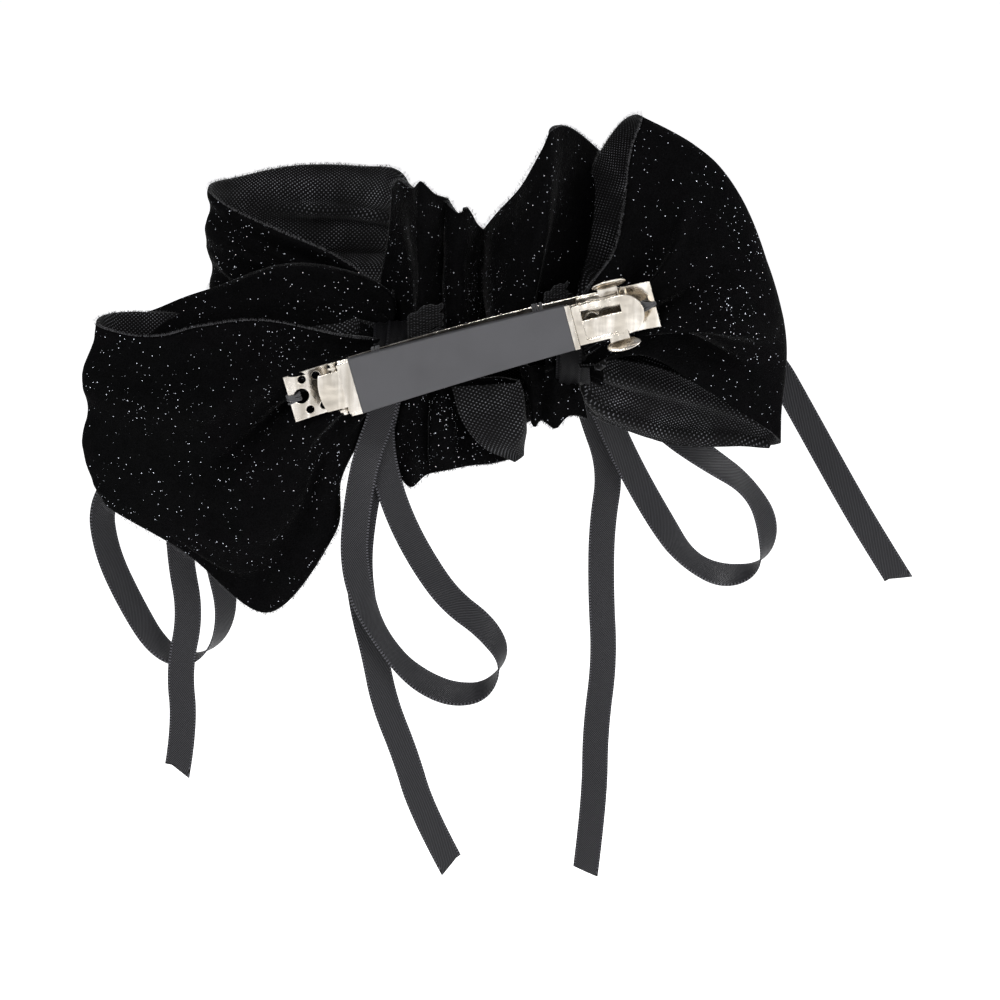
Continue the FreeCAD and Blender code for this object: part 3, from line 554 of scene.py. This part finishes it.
# Ribs run from the top rim to the bottom rim. A loop's and the fan's follow each other from the
# gathered end, round the outer fold and back. The others run along the bow, either out from a
# gather or from left to right. The last two ribs of the bottom left ruffle turn back on the
# head's side and show the knit.
LEFT_LOWER_LOOP = [
    [(-19, 6, 0), (-18, 4, -3), (-18, 3, -6), (-18, 4, -9), (-19, 6, -12)],
    [(-28, 2, 2), (-27, 0, -4), (-26, 0, -9), (-25, 1, -14), (-23, 3, -20)],
    [(-45, 3, 5), (-42, -2, -5), (-38, -3, -13), (-33, -1, -21), (-28, 2, -30)],
    [(-58, 2, 4), (-55, -2, -9), (-49, -3, -20), (-41, -1, -32), (-30, 3, -43)],
    [(-66, 2, 2), (-65, -2, -11), (-60, -2, -25), (-53, 0, -40), (-45, 4, -61)],
    [(-74, 3, 2), (-75, 0, -10), (-74, 0, -22), (-70, 2, -35), (-63, 4, -47)],
    [(-81, 6, 4), (-83, 5, -6), (-84, 5, -16), (-84, 6, -26), (-81, 6, -36)],
    [(-76, 12, 5), (-77, 13, -8), (-75, 13, -18), (-71, 13, -28), (-64, 12, -38)],
    [(-55, 14, 4), (-54, 14, -8), (-50, 14, -18), (-45, 14, -28), (-38, 12, -38)],
    [(-32, 12, 4), (-31, 12, -4), (-29, 12, -10), (-28, 12, -16), (-26, 11, -22)],
    [(-20, 12, 2), (-19, 12, -1), (-19, 13, -4), (-19, 13, -7), (-20, 12, -10)],
]
LEFT_MIDDLE_FOLD = [
    [(-17, 17, -6), (-17, 18, 0), (-17, 15, 4), (-17, 11, 1), (-17, 10, -6)],
    [(-24, 20, -6), (-23, 21, 4), (-20, 17, 8), (-23, 12, 4), (-24, 10, -5)],
    [(-32, 22, -6), (-30, 22, 6), (-28, 18, 12), (-30, 12, 7), (-33, 9, -4)],
    [(-44, 22, -8), (-42, 23, 6), (-41, 18, 14), (-42, 12, 8), (-44, 8, -4)],
    [(-60, 21, -10), (-59, 22, 2), (-58, 17, 9), (-58, 12, 4), (-60, 8, -6)],
    [(-70, 18, -12), (-71, 18, -4), (-72, 16, 4), (-72, 13, 0), (-70, 12, -8)],
]
LEFT_UPPER_LOOP = [
    [(-18, 18, 3), (-18, 18, 0), (-18, 18, -3), (-18, 17, -5)],
    [(-20, 22, 8), (-20, 22, 3), (-21, 22, -1), (-21, 21, -5)],
    [(-30, 24, 15), (-30, 23, 9), (-30, 23, 3), (-30, 22, -4)],
    [(-42, 25, 20), (-43, 23, 14), (-43, 23, 7), (-44, 23, -1)],
    [(-53, 27, 25), (-54, 25, 19), (-54, 25, 12), (-54, 25, 5)],
    [(-58, 33, 29), (-59, 32, 22), (-59, 32, 15), (-58, 32, 7)],
    [(-52, 40, 30), (-54, 40, 22), (-54, 40, 14), (-53, 40, 6)],
    [(-40, 43, 32), (-41, 44, 22), (-41, 44, 12), (-41, 43, 2)],
    [(-26, 42, 32), (-26, 43, 22), (-26, 43, 12), (-26, 41, 2)],
    [(-16, 36, 31), (-15, 37, 20), (-15, 36, 12), (-16, 34, 4)],
    [(-13, 28, 19), (-13, 28, 10), (-13, 27, 4), (-14, 25, -2)],
    [(-17, 20, 4), (-17, 20, 1), (-17, 20, -2), (-17, 19, -5)],
]
RIGHT_FAN = [
    [(23, 4, 3), (24, 3, 1), (24, 3, -1), (24, 3, -3), (23, 4, -5)],
    [(26, 3, 12), (29, 0, 8), (30, -1, 4), (30, 0, 1), (29, 2, -1)],
    [(31, 4, 19), (36, -1, 13), (39, -3, 8), (39, -2, 3), (38, 2, -1)],
    [(33, 7, 29), (43, -1, 20), (48, -3, 11), (49, -1, 2), (48, 3, -8)],
    [(34, 10, 40), (48, 3, 29), (57, 0, 14), (60, 1, -2), (59, 5, -16)],
    [(36, 12, 47), (54, 8, 36), (64, 8, 15), (68, 8, -5), (67, 9, -23)],
    [(32, 18, 45), (47, 20, 31), (57, 20, 12), (63, 18, -8), (62, 13, -25)],
    [(27, 20, 37), (36, 22, 22), (44, 22, 4), (48, 21, -12), (46, 17, -26)],
    [(23, 19, 27), (28, 20, 15), (33, 20, 0), (36, 20, -12), (36, 17, -23)],
    [(21, 17, 18), (24, 18, 10), (27, 18, 0), (28, 17, -9), (28, 15, -19)],
    [(22, 11, 4), (22, 13, 1), (22, 14, -2), (22, 13, -6), (22, 11, -9)],
]
RIGHT_LOWER_PANEL = [
    [(23, 9, -3), (23, 9, -6), (23, 10, -9), (23, 11, -11)],
    [(30, 11, -5), (29, 11, -10), (28, 12, -14), (27, 12, -18)],
    [(40, 12, -7), (39, 13, -13), (38, 14, -18), (37, 14, -23)],
    [(50, 12, -11), (50, 14, -16), (48, 15, -21), (47, 14, -25)],
    [(60, 12, -16), (60, 13, -19), (59, 14, -22), (58, 13, -25)],
    [(66, 12, -20), (66, 12, -22), (66, 12, -24), (65, 12, -25)],
]
TOP_CENTRE_FOLD = [
    [(2, 26, 20), (2, 24, 15), (2, 21, 9), (3, 17, 2)],
    [(5, 20, 25), (4, 16, 17), (4, 13, 10), (4, 10, 2)],
    [(9, 15, 30), (8, 10, 20), (7, 8, 11), (6, 7, 2)],
    [(12, 11, 35), (12, 6, 24), (10, 5, 13), (8, 5, 2)],
    [(15, 9, 41), (15, 5, 30), (13, 4, 16), (10, 5, 2)],
    [(17, 10, 45), (17, 6, 33), (15, 5, 18), (12, 5, 2)],
    [(20, 15, 45), (19, 12, 33), (16, 9, 18), (13, 7, 2)],
    [(24, 20, 42), (22, 17, 30), (20, 13, 16), (16, 9, 2)],
    [(28, 24, 38), (27, 21, 27), (24, 16, 14), (20, 11, 2)],
]
TOP_LEFT_FOLD = [
    [(-18, 30, 29), (-18.5, 28, 21), (-20, 24, 12), (-21, 19, 0)],
    [(-16, 25, 32), (-15, 21, 22), (-14, 17, 12), (-13, 13, 1)],
    [(-13, 19, 31), (-13, 14, 22), (-12, 11, 12), (-12, 9, 1)],
    [(-11, 15, 33), (-11, 11, 22), (-11, 9, 12), (-10, 8, 1)],
    [(-8, 17, 30), (-8, 14, 21), (-9, 11, 11), (-9, 9, 1)],
    [(-5, 21, 28), (-6, 18, 19), (-7, 14, 10), (-7, 11, 1)],
    [(-4, 26, 24), (-4, 22, 16), (-5, 18, 9), (-6, 13, 1)],
]
TOP_INNER_FOLD = [
    [(-7, 26, 24), (-7, 23, 17), (-7, 19, 10), (-7, 14, 1)],
    [(-6, 20, 28), (-6, 16, 19), (-6, 13, 10), (-6, 10, 1)],
    [(-3, 16, 26), (-4, 12, 18), (-4, 10, 9), (-5, 8, 1)],
    [(-1, 17, 27), (-2, 13, 18), (-2, 10, 9), (-3, 8, 1)],
    [(1, 21, 23), (0, 17, 16), (0, 14, 8), (-1, 11, 1)],
    [(3, 26, 20), (2, 22, 14), (2, 18, 7), (1, 13, 1)],
]
BOTTOM_LEFT_RUFFLE = [
    [(-17, 11, -9), (-18, 11, -15), (-19, 10, -20), (-19, 11, -25)],
    [(-15, 8, -9), (-16, 7, -16), (-17, 6, -23), (-17, 7, -29)],
    [(-12, 6, -9), (-13, 5, -17), (-13, 4, -25), (-13.5, 5, -32.5)],
    [(-9, 8, -9), (-10, 7, -17), (-10, 7, -24), (-10, 8, -30.5)],
    [(-6, 6, -9), (-6, 5, -17), (-6, 5, -23), (-5.5, 6, -29)],
    [(-2, 8, -9), (-2, 8, -17), (-2, 7.5, -23), (-1, 8, -28.5)],
    [(2, 8.5, -9), (3, 8.5, -16), (3, 8, -22), (4, 8, -28)],
    [(6, 9, -9), (7, 9, -15), (8, 8.5, -21), (8, 8, -27)],
    [(9.5, 7, -9.5), (10.5, 7, -15), (11, 6.5, -20), (10.3, 6.5, -25.5)],
    [(4, 4.6, -9.5), (6, 3.4, -16), (8, 3.4, -21), (9.8, 4.8, -26)],
    [(-4.4, 4.6, -10), (-2.2, 3.2, -17), (2, 3.0, -22.5), (9, 4.6, -26.5)],
]
BOTTOM_RIGHT_RUFFLE = [
    [(10, 10, -6), (11, 9, -10), (11, 9, -13), (11.5, 9, -16)],
    [(12, 7, -6), (13, 6, -11), (13, 5, -15), (13.4, 5.5, -19)],
    [(15, 8, -6), (15, 7, -12), (15, 7, -15), (15, 7, -18)],
    [(17.5, 6, -6), (18, 5, -12), (18, 5, -16), (18, 6, -19.5)],
    [(20, 7.5, -6), (21, 7, -11), (21, 6.5, -14), (21, 7, -17)],
    [(22, 6, -6), (23, 6, -10), (24, 6, -13), (25, 7, -17.5)],
]
CENTRE_PUFF = [
    [(-18, 14, 2), (-18, 17, 0), (-18, 18, -5), (-18, 17, -9), (-18, 14, -11)],
    [(-12, 24, 13), (-12, 32, 10), (-12, 37, -3), (-12, 31, -14), (-12, 16, -18)],
    [(-3, 27, 17), (-3, 38, 13), (-3, 43, 0), (-3, 37, -15), (-3, 14, -23)],
    [(7, 27, 17), (7, 38, 14), (7, 43, 0), (7, 37, -15), (7, 14, -23)],
    [(16, 24, 14), (16, 33, 12), (16, 38, -1), (16, 32, -13), (16, 16, -19)],
    [(22, 14, 4), (22, 17, 2), (22, 18, -3), (22, 17, -7), (22, 14, -9)],
]


# Creases and ridges, as ridges() takes them. On the two large loops and the fan, those that start
# above u = 0.9 are on the bow's face.
PETAL_FOLDS = [((0.08, 0.42), (0.44, 0.60), 0.035, -3.8), ((0.10, 0.60), (0.46, 0.84), 0.06, 2.8),
               ((0.10, 0.28), (0.42, 0.34), 0.05, 2.6), ((0.18, 0.80), (0.50, 0.97), 0.03, -2.4),
               ((0.26, 0.15), (0.56, 0.22), 0.05, -2.0), ((0.94, 0.40), (0.60, 0.30), 0.04, -3.0),
               ((0.94, 0.60), (0.62, 0.62), 0.06, 2.4), ((0.92, 0.75), (0.60, 0.90), 0.04, -2.4)]
FAN_FOLDS = [((0.06, 0.34), (0.42, 0.20), 0.03, -3.4), ((0.08, 0.48), (0.46, 0.46), 0.06, 2.8),
             ((0.08, 0.62), (0.46, 0.68), 0.03, -3.4), ((0.10, 0.76), (0.42, 0.86), 0.05, 2.4),
             ((0.12, 0.20), (0.46, 0.06), 0.05, 2.0), ((0.94, 0.35), (0.60, 0.22), 0.04, -3.0),
             ((0.94, 0.52), (0.58, 0.52), 0.06, 2.4), ((0.94, 0.70), (0.60, 0.80), 0.04, -3.0)]
UPPER_FOLDS = [((0.10, 0.40), (0.36, 0.30), 0.05, -2.0), ((0.12, 0.70), (0.40, 0.72), 0.06, 1.8),
               ((0.92, 0.40), (0.58, 0.30), 0.04, -2.4), ((0.92, 0.62), (0.60, 0.70), 0.06, 2.0)]
RUFFLE_FOLDS = [((0.16, 0.05), (0.10, 0.95), 0.03, -1.6), ((0.36, 0.05), (0.33, 0.95), 0.03, -1.4),
                ((0.50, 0.10), (0.50, 0.95), 0.03, 1.0), ((0.80, 0.05), (0.90, 0.90), 0.03, 0.7)]
PUFF_FOLDS = [((0.06, 0.35), (0.60, 0.30), 0.04, -2.6), ((0.94, 0.60), (0.40, 0.62), 0.04, -2.6),
              ((0.08, 0.50), (0.90, 0.46), 0.05, 1.6)]
MIDDLE_FOLDS = [((0.08, 0.30), (0.70, 0.28), 0.04, -2.2), ((0.10, 0.60), (0.80, 0.62), 0.05, 2.0)]


def make_velvet():
    velvet("left_lower_loop", LEFT_LOWER_LOOP, depth=1.3, seed=1, folds=PETAL_FOLDS)
    velvet("left_middle_fold", LEFT_MIDDLE_FOLD, depth=1.2, seed=2, ends=(True, False), rims=(),
           folds=MIDDLE_FOLDS)
    velvet("left_upper_loop", LEFT_UPPER_LOOP, depth=1.2, seed=3, folds=UPPER_FOLDS)
    velvet("right_fan", RIGHT_FAN, depth=1.5, seed=4, flip=True, rims=("top",), folds=FAN_FOLDS)
    velvet("right_lower_panel", RIGHT_LOWER_PANEL, depth=0.5, seed=5, ends=(True, False),
           rims=("bottom",), along=90, across=40)
    velvet("top_centre_fold", TOP_CENTRE_FOLD, depth=0.6, seed=6, ends=(False, False),
           rims=("top",), flip=True)
    velvet("top_left_fold", TOP_LEFT_FOLD, depth=0.4, seed=7, ends=(False, False),
           rims=("top",), flip=True, along=60)
    velvet("top_inner_fold", TOP_INNER_FOLD, depth=0.4, seed=8, ends=(False, False),
           rims=("top",), flip=True, along=60)
    velvet("bottom_left_ruffle", BOTTOM_LEFT_RUFFLE, depth=0.35, seed=9, ends=(False, False),
           rims=("bottom",), flip=True, folds=RUFFLE_FOLDS)
    velvet("bottom_right_ruffle", BOTTOM_RIGHT_RUFFLE, depth=0.5, seed=10,
           ends=(False, False), rims=("bottom",), flip=True, along=60)
    velvet("centre_puff", CENTRE_PUFF, depth=1.6, seed=11, folds=PUFF_FOLDS)


# ---- satin ribbons ----------------------------------------------------------------------------
RIBBON_WIDTH, RIBBON_THICK = 6 * MM, 0.35 * MM
RIBBON_CURL = 0.18 * MM
RIBBON_SHARES = np.array([-0.5, -0.46, -0.3, 0, 0.3, 0.46, 0.5])

# A ribbon's turning is averaged over this many points of its line.
TURN_WINDOW = 25

# Each point of a route: x, y, z and how far the ribbon is turned from facing the head, in degrees.
RIBBONS = {
    "left_ribbon_outer_loop": [
        (-20, 23, -6, 0), (-32, 23, -13, 0), (-47, 23, -21, 0), (-62, 23, -27, 10),
        (-76, 24, -32, 20), (-84, 25, -41, 30), (-83, 26, -53, 30), (-78, 26, -65, 30),
        (-72, 26, -76, 50), (-65, 26.6, -79.5, 80), (-58.5, 27.2, -75.5, 110),
        (-56, 28, -67, 135), (-58, 28.8, -57, 150), (-60, 30, -46, 160),
        (-52, 31, -35, 170), (-40, 30, -25, 180), (-29, 27, -15, 180), (-20, 23.8, -7, 180)],
    "left_ribbon_outer_tail": [
        (-19, 21, -7, 0), (-31, 21, -17, 0), (-44, 21, -25, 0), (-57, 22, -32, 0),
        (-66, 22, -42, 10), (-66, 23, -54, 20), (-64, 23, -67, 10), (-67, 23, -80, 10),
        (-66, 23, -93, 0), (-68, 23, -104, 0)],
    "left_ribbon_inner_loop": [
        (-18, 4, -8, 0), (-19, 1.8, -15, 0), (-23, 1, -25, 0), (-25, 0.4, -36, 0),
        (-26, 0.3, -48, 10), (-23, 0.2, -60, 60), (-17, 0, -70, 60), (-11, 0, -75.5, 45),
        (-4, 0, -78.5, 45), (3.2, 0.3, -77.6, 70), (7.4, 0.6, -70.4, 105),
        (3.2, 0.9, -63.2, 140), (-5, 1.2, -57, 150), (-11, 1.4, -48, 160),
        (-15.5, 1.5, -39, 175), (-18.5, 1.9, -30, 180), (-20, 2.1, -21, 180),
        (-19.5, 2.9, -14, 180)],
    "left_ribbon_inner_tail": [
        (-17.5, 5.2, -9.5, 0), (-19.5, 3.2, -17.5, 0), (-22, 2.9, -29, 0),
        (-24, 2.5, -39, 0), (-25, 2.2, -49, 0), (-24, 2.1, -59, 15), (-21.5, 2, -70, 25),
        (-19.5, 2, -81, 10), (-15, 2, -93, 0), (-11.5, 2, -106, 0), (-5, 2, -119, 0)],
    "right_ribbon_inner_tail": [
        (22, 23, -5, 0), (26, 26, -20, 0), (31, 28, -34, 0), (29, 29, -48, 10),
        (29, 29, -64, 10), (30, 30, -80, 10), (28, 30, -97, 0), (28, 30, -114, 0),
        (26, 30, -132, 0)],
    "right_ribbon_loop": [
        (23, 22, -5, 0), (28, 23, -17, 0), (34, 25, -31, 10), (41, 26, -44, 20),
        (48, 27, -55, 60), (57, 28, -60, 40), (66, 28, -57, 100), (67, 28, -47, 150),
        (62, 28, -38, 120), (53, 28, -32, 140), (43, 28, -25, 170), (34, 27, -15, 180),
        (24, 24, -4, 180)],
    "right_ribbon_outer_tail": [
        (24, 21, -3, 0), (39, 24, -2, 0), (54, 29, -2, 0), (66, 31, -8, 0), (74, 32, -22, 0),
        (83, 32, -38, 10), (90, 32, -50, 0), (97, 32, -61, 0)],
}

# How far the cut ends slant, as a share of the ribbon's width.
ENDS = {"left_ribbon_outer_tail": 0.6, "left_ribbon_inner_tail": -0.5,
        "right_ribbon_inner_tail": 0.35, "right_ribbon_outer_tail": 0.5}


def route_line(name, route):
    """Points along the smooth line of a route's control points."""
    data = bpy.data.curves.new(name + "_line", "CURVE")
    data.dimensions = "3D"
    data.resolution_u = 24
    spline = data.splines.new("NURBS")
    spline.points.add(len(route) - 1)
    for point, (x, y, z, _) in zip(spline.points, route):
        point.co = (x * MM, y * MM, z * MM, 1)
    spline.order_u = 3
    spline.use_endpoint_u = True
    carrier = bpy.data.objects.new(name + "_line", data)
    bpy.context.collection.objects.link(carrier)
    mesh = bpy.data.meshes.new_from_object(
        carrier.evaluated_get(bpy.context.evaluated_depsgraph_get()))
    line = np.array([tuple(v.co) for v in mesh.vertices])
    bpy.data.objects.remove(carrier)
    bpy.data.curves.remove(data)
    bpy.data.meshes.remove(mesh)
    return line


def satin_ribbon(name, route):
    """A thin flat strip that follows its route's line and turns as the route says."""
    line = route_line(name, route)
    count = len(line)
    places = np.concatenate([[0], np.cumsum(np.linalg.norm(np.diff(line, axis=0), axis=1))])
    turn = np.radians(np.interp(np.linspace(0, 1, count), np.linspace(0, 1, len(route)),
                                [p[3] for p in route]))
    average = np.ones(TURN_WINDOW) / TURN_WINDOW
    turn = np.convolve(np.pad(turn, TURN_WINDOW // 2, mode="edge"), average, mode="valid")
    ahead = np.gradient(line, axis=0)
    ahead /= np.linalg.norm(ahead, axis=1, keepdims=True)
    outward = np.array([0.0, 1.0, 0.0])
    side = np.cross(ahead, outward)
    side /= np.maximum(np.linalg.norm(side, axis=1, keepdims=True), 1e-9)
    rise = np.cross(side, ahead)
    wide = side * np.cos(turn)[:, None] + rise * np.sin(turn)[:, None]
    face = np.cross(ahead, wide)
    curl = RIBBON_CURL * (1 - (2 * RIBBON_SHARES) ** 2)
    points, uvs = [], []
    for layer in (1, -1):
        for row in range(count):
            slant = 0.0
            if row == count - 1 and name in ENDS:
                slant = ENDS[name] * RIBBON_WIDTH
            for share, lift in zip(RIBBON_SHARES, curl):
                points.append(line[row] + wide[row] * share * RIBBON_WIDTH
                              + face[row] * (lift + layer * RIBBON_THICK / 2)
                              + ahead[row] * slant * share)
                uvs.append((share * RIBBON_WIDTH, places[row]))
    columns = len(RIBBON_SHARES)
    shift = count * columns
    top = grid_faces(count, columns)
    faces = [tuple(f) for f in top] + [tuple(f) for f in top[:, ::-1] + shift]
    for row in range(count - 1):
        a, b = row * columns, (row + 1) * columns
        faces.append((a, b, b + shift, a + shift)[::-1])
        a, b = a + columns - 1, b + columns - 1
        faces.append((a, b, b + shift, a + shift))
    for column in range(columns - 1):
        a = column
        faces.append((a, a + 1, a + 1 + shift, a + shift)[::-1])
        a = (count - 1) * columns + column
        faces.append((a, a + 1, a + 1 + shift, a + shift))
    piece = add_mesh(name + "_satin", points, faces, [SATIN], uvs=uvs)
    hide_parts(name)
    return piece


# ---- gathers, cinches and knots ---------------------------------------------------------------
# In millimetres: how wide each turn of a cinch is and how far it rises over the one below, a
# knot's radii, and how far apart the tucks beside a gather are and their radius.
CINCH_TURNS, CINCH_WIDTH, CINCH_RISE = 4, 4.6, 0.28
KNOT_RADII = (4, 2.4, 3.3)
TUCK_ROLLS, TUCK_SPACING, TUCK_RADIUS = 6, 1.5, 0.95


def node_place(name):
    """The middle and the size of a CAD node's box."""
    low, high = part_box(name)
    return (Vector(low) + Vector(high)) / 2, Vector(high) - Vector(low)


def neck(name):
    """The neck of a gather, narrow under its cinch, with 13 broad pleats and 29 fine ones."""
    middle, size = node_place(name)
    rows, columns = 24, 160
    turn = np.linspace(0, 2 * math.pi, columns)
    points = []
    for x in np.linspace(-0.7, 0.7, rows):
        spread = 0.8 + 0.55 * abs(x) ** 1.5
        pleat = 1 + 0.10 * np.sin(13 * turn + 0.8 * math.sin(3 * x)) + 0.05 * np.sin(29 * turn)
        for angle, grow in zip(turn, pleat):
            reach = size.z / 2 * spread * grow
            points.append((middle.x + x * size.x, middle.y + reach * math.cos(angle),
                           middle.z + reach * math.sin(angle)))
    uvs = [(p[1], p[0]) for p in points]
    piece = add_mesh(name + "_velvet", points, grid_faces(rows, columns), [PILE], uvs=uvs)
    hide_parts(name)


def cinch(name, seed):
    """Satin wound several times round a gather, creased and overlapping."""
    middle, size = node_place(name)
    draw = np.random.default_rng(seed)
    points, faces, uvs = [], [], []
    rows, columns = 9, 140
    for band in range(CINCH_TURNS):
        lean = draw.uniform(-1.4, 1.4) * MM
        offset = draw.uniform(-1.2, 1.2) * MM
        start = len(points)
        for row in range(rows):
            share = row / (rows - 1) - 0.5
            for column in range(columns):
                angle = 2 * math.pi * column / (columns - 1)
                crease = 0.35 * math.sin(5 * share * math.pi + 3 * math.sin(angle + band))
                reach = size.z / 2 * 0.96 + (CINCH_RISE * band + crease * 0.5) * MM
                points.append((middle.x + offset + share * CINCH_WIDTH * MM
                               + lean * math.sin(angle + band),
                               middle.y + reach * math.cos(angle),
                               middle.z + reach * math.sin(angle)))
                uvs.append((share * RIBBON_WIDTH, angle * size.z / 2))
        faces += [tuple(f + start) for f in grid_faces(rows, columns)]
    piece = add_mesh(name + "_satin", points, faces, [SHADED_SATIN], uvs=uvs)
    thick = piece.modifiers.new("ribbon", "SOLIDIFY")
    thick.thickness = RIBBON_THICK
    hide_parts(name)


def knot(name, seed):
    """A soft tied knot: a creased ball of ribbon with a band over it."""
    middle, _ = node_place(name)
    rows, columns = 40, 64
    points, uvs = [], []
    for row in range(rows):
        # The first and last rows stop just short of the poles.
        polar = math.pi * (row + 0.01) / (rows - 0.98)
        for column in range(columns):
            angle = 2 * math.pi * column / (columns - 1)
            way = Vector((math.cos(polar), math.sin(polar) * math.cos(angle),
                          math.sin(polar) * math.sin(angle)))
            crease = 1 + 0.07 * math.sin(7 * angle + 2 * way.x + seed) * math.sin(polar)
            crease += 0.10 * math.exp(-(way.x / 0.35) ** 2)
            points.append([centre + part * radius * MM * crease
                           for centre, part, radius in zip(middle, way, KNOT_RADII)])
            uvs.append((way.x * 3 * MM, angle * 3 * MM))
    piece = add_mesh(name + "_satin", points, grid_faces(rows, columns), [SATIN], uvs=uvs)
    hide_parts(name)


def tucks(name, middle, reach, seed):
    """Crushed tucks of cloth beside a gather: blunt rolls, side by side, that lean in to it."""
    draw = np.random.default_rng(seed)
    points, faces, uvs = [], [], []
    rows, columns = 34, 12
    for roll in range(TUCK_ROLLS):
        start, side = len(points), (roll - (TUCK_ROLLS - 1) / 2) * TUCK_SPACING
        swell, wander = draw.uniform(0.8, 1.25), draw.uniform(-0.5, 0.5)
        for row in range(rows):
            t = row / (rows - 1)
            blunt = (1 - (2 * t - 1) ** 6) ** 0.5
            for column in range(columns):
                angle = math.pi * column / (columns - 1)
                buckle = 0.28 * math.sin(11 * t + 1.7 * roll) + 0.14 * math.sin(23 * t + roll)
                fan = side * (0.45 + 0.75 * t) + wander * math.sin(3 * t)
                points.append((np.array(middle) + [reach * (1.6 * t - 0.8), 0, fan + buckle]
                               + np.array([0, -math.sin(angle), math.cos(angle)])
                               * TUCK_RADIUS * swell * max(blunt, 0.05)) * MM)
                uvs.append(((angle / math.pi - 0.5) * RIBBON_WIDTH, t * reach * MM))
        faces += [tuple(f + start) for f in grid_faces(rows, columns)]
    piece = add_mesh(name + "_tucks", points, faces, [KNIT], uvs=uvs)
    thick = piece.modifiers.new("cloth", "SOLIDIFY")
    thick.thickness = RIBBON_THICK


# ---- sewing thread ----------------------------------------------------------------------------
THREAD_RADIUS, THREAD_SIDES = 0.19 * MM, 7

# A direction that no thread runs along.
OFF_THREAD = (0.31, 0.2, 0.93)

# In the barrette's own level frame, in millimetres: each end's x and y, each gather's x, and the
# radius that the plate is bent to.
END_STITCHES = (("left_end_stitch", -39.0, -5.6), ("right_end_stitch", 38.6, -5.2))
GATHER_STITCHES = (("left_gather_stitch", -20), ("right_gather_stitch", 15.5))
PLATE_BEND = 130

# How many loops a stitch has, and in millimetres how far apart they are and half their length and
# depth.
END_LOOPS, END_STEP, END_REACH, END_DEPTH = 6, 0.24, 1.45, 1.15
GATHER_LOOPS, GATHER_STEP, GATHER_REACH, GATHER_DEPTH = 7, 0.3, 5.35, 0.72


def from_clip(x, y, z):
    """A point of the barrette's own level frame, in millimetres, in the row frame."""
    cosine, sine = math.cos(CLIP_TURN), math.sin(CLIP_TURN)
    return Vector((x * cosine - z * sine, y, x * sine + z * cosine)) * MM


def tube(points):
    """Points and faces of a round thread along a closed line."""
    points = np.asarray(points)
    ahead = np.roll(points, -1, axis=0) - np.roll(points, 1, axis=0)
    ahead /= np.linalg.norm(ahead, axis=1, keepdims=True)
    side = np.cross(ahead, OFF_THREAD)
    side /= np.linalg.norm(side, axis=1, keepdims=True)
    rise = np.cross(ahead, side)
    angles = np.arange(THREAD_SIDES) * 2 * math.pi / THREAD_SIDES
    ring = (points[:, None] + THREAD_RADIUS * (np.cos(angles)[None, :, None] * side[:, None]
                                               + np.sin(angles)[None, :, None] * rise[:, None]))
    count = len(points)
    faces = []
    for row in range(count):
        start, after = row * THREAD_SIDES, (row + 1) % count * THREAD_SIDES
        for k in range(THREAD_SIDES):
            other = (k + 1) % THREAD_SIDES
            faces.append((start + k, start + other, after + other, after + k))
    return ring.reshape(-1, 3), faces


def stitches(name, loops):
    """A node's thread, as closed loops in the barrette's own level frame, in millimetres."""
    points, faces = [], []
    for loop in loops:
        made, its_faces = tube([from_clip(*p) for p in loop])
        faces += [tuple(k + len(points) for k in f) for f in its_faces]
        points += list(made)
    piece = add_mesh(name + "_thread", points, faces, [THREAD])
    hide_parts(name)


def boxy(value, power):
    """A sine or cosine that stays near 1 and -1 for longer."""
    return math.copysign(abs(value) ** power, value)


def make_stitches():
    draw = np.random.default_rng(5)
    turns = np.linspace(0, 2 * math.pi, 40, endpoint=False)
    for name, x, y in END_STITCHES:
        loops = []
        for k in range(END_LOOPS):
            across = (k - (END_LOOPS - 1) / 2) * END_STEP
            tall = END_DEPTH + draw.uniform(-0.1, 0.15)
            lean = draw.uniform(-0.5, 0.5)
            loops.append([(x + END_REACH * math.cos(t), y + tall * math.sin(t),
                           across + lean * math.cos(t)) for t in turns])
        stitches(name, loops)
    for name, x in GATHER_STITCHES:
        level = math.sqrt(PLATE_BEND ** 2 - x ** 2) - PLATE_BEND + 0.4
        loops = []
        for k in range(GATHER_LOOPS):
            shift = (k - (GATHER_LOOPS - 1) / 2) * GATHER_STEP + draw.uniform(-0.1, 0.1)
            lean = draw.uniform(-0.35, 0.35)
            loops.append([(x + shift + lean * math.cos(t),
                           level + GATHER_DEPTH * boxy(math.sin(t), 0.4),
                           GATHER_REACH * boxy(math.cos(t), 0.7)) for t in turns])
        stitches(name, loops)


# ---- barrette ---------------------------------------------------------------------------------
PLATED = ("base_plate", "hinge_pin", "clasp_bar", "tension_spring", "latch_web", "latch_rivet",
          "upper_latch_arm", "lower_latch_arm")


def paint_node(name, material):
    """Gives a CAD node a material and leaves its shape alone."""
    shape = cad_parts[name]
    for place in shape.material_slots:
        place.material = material


for plated_node in PLATED:
    paint_node(plated_node, NICKEL)
paint_node("bar_sleeve", SLEEVE)
for ribbon_name, ribbon_route in RIBBONS.items():
    satin_ribbon(ribbon_name, ribbon_route)
make_velvet()
for gather_seed, gather_side in enumerate(("left", "right")):
    neck(gather_side + "_gather")
    cinch(gather_side + "_cinch", gather_seed + 20)
    knot(gather_side + "_knot", gather_seed)
tucks("left_gather", middle=(-10, 5, 3), reach=5, seed=31)
tucks("right_gather", middle=(18, 5, 8), reach=3.4, seed=32)
make_stitches()
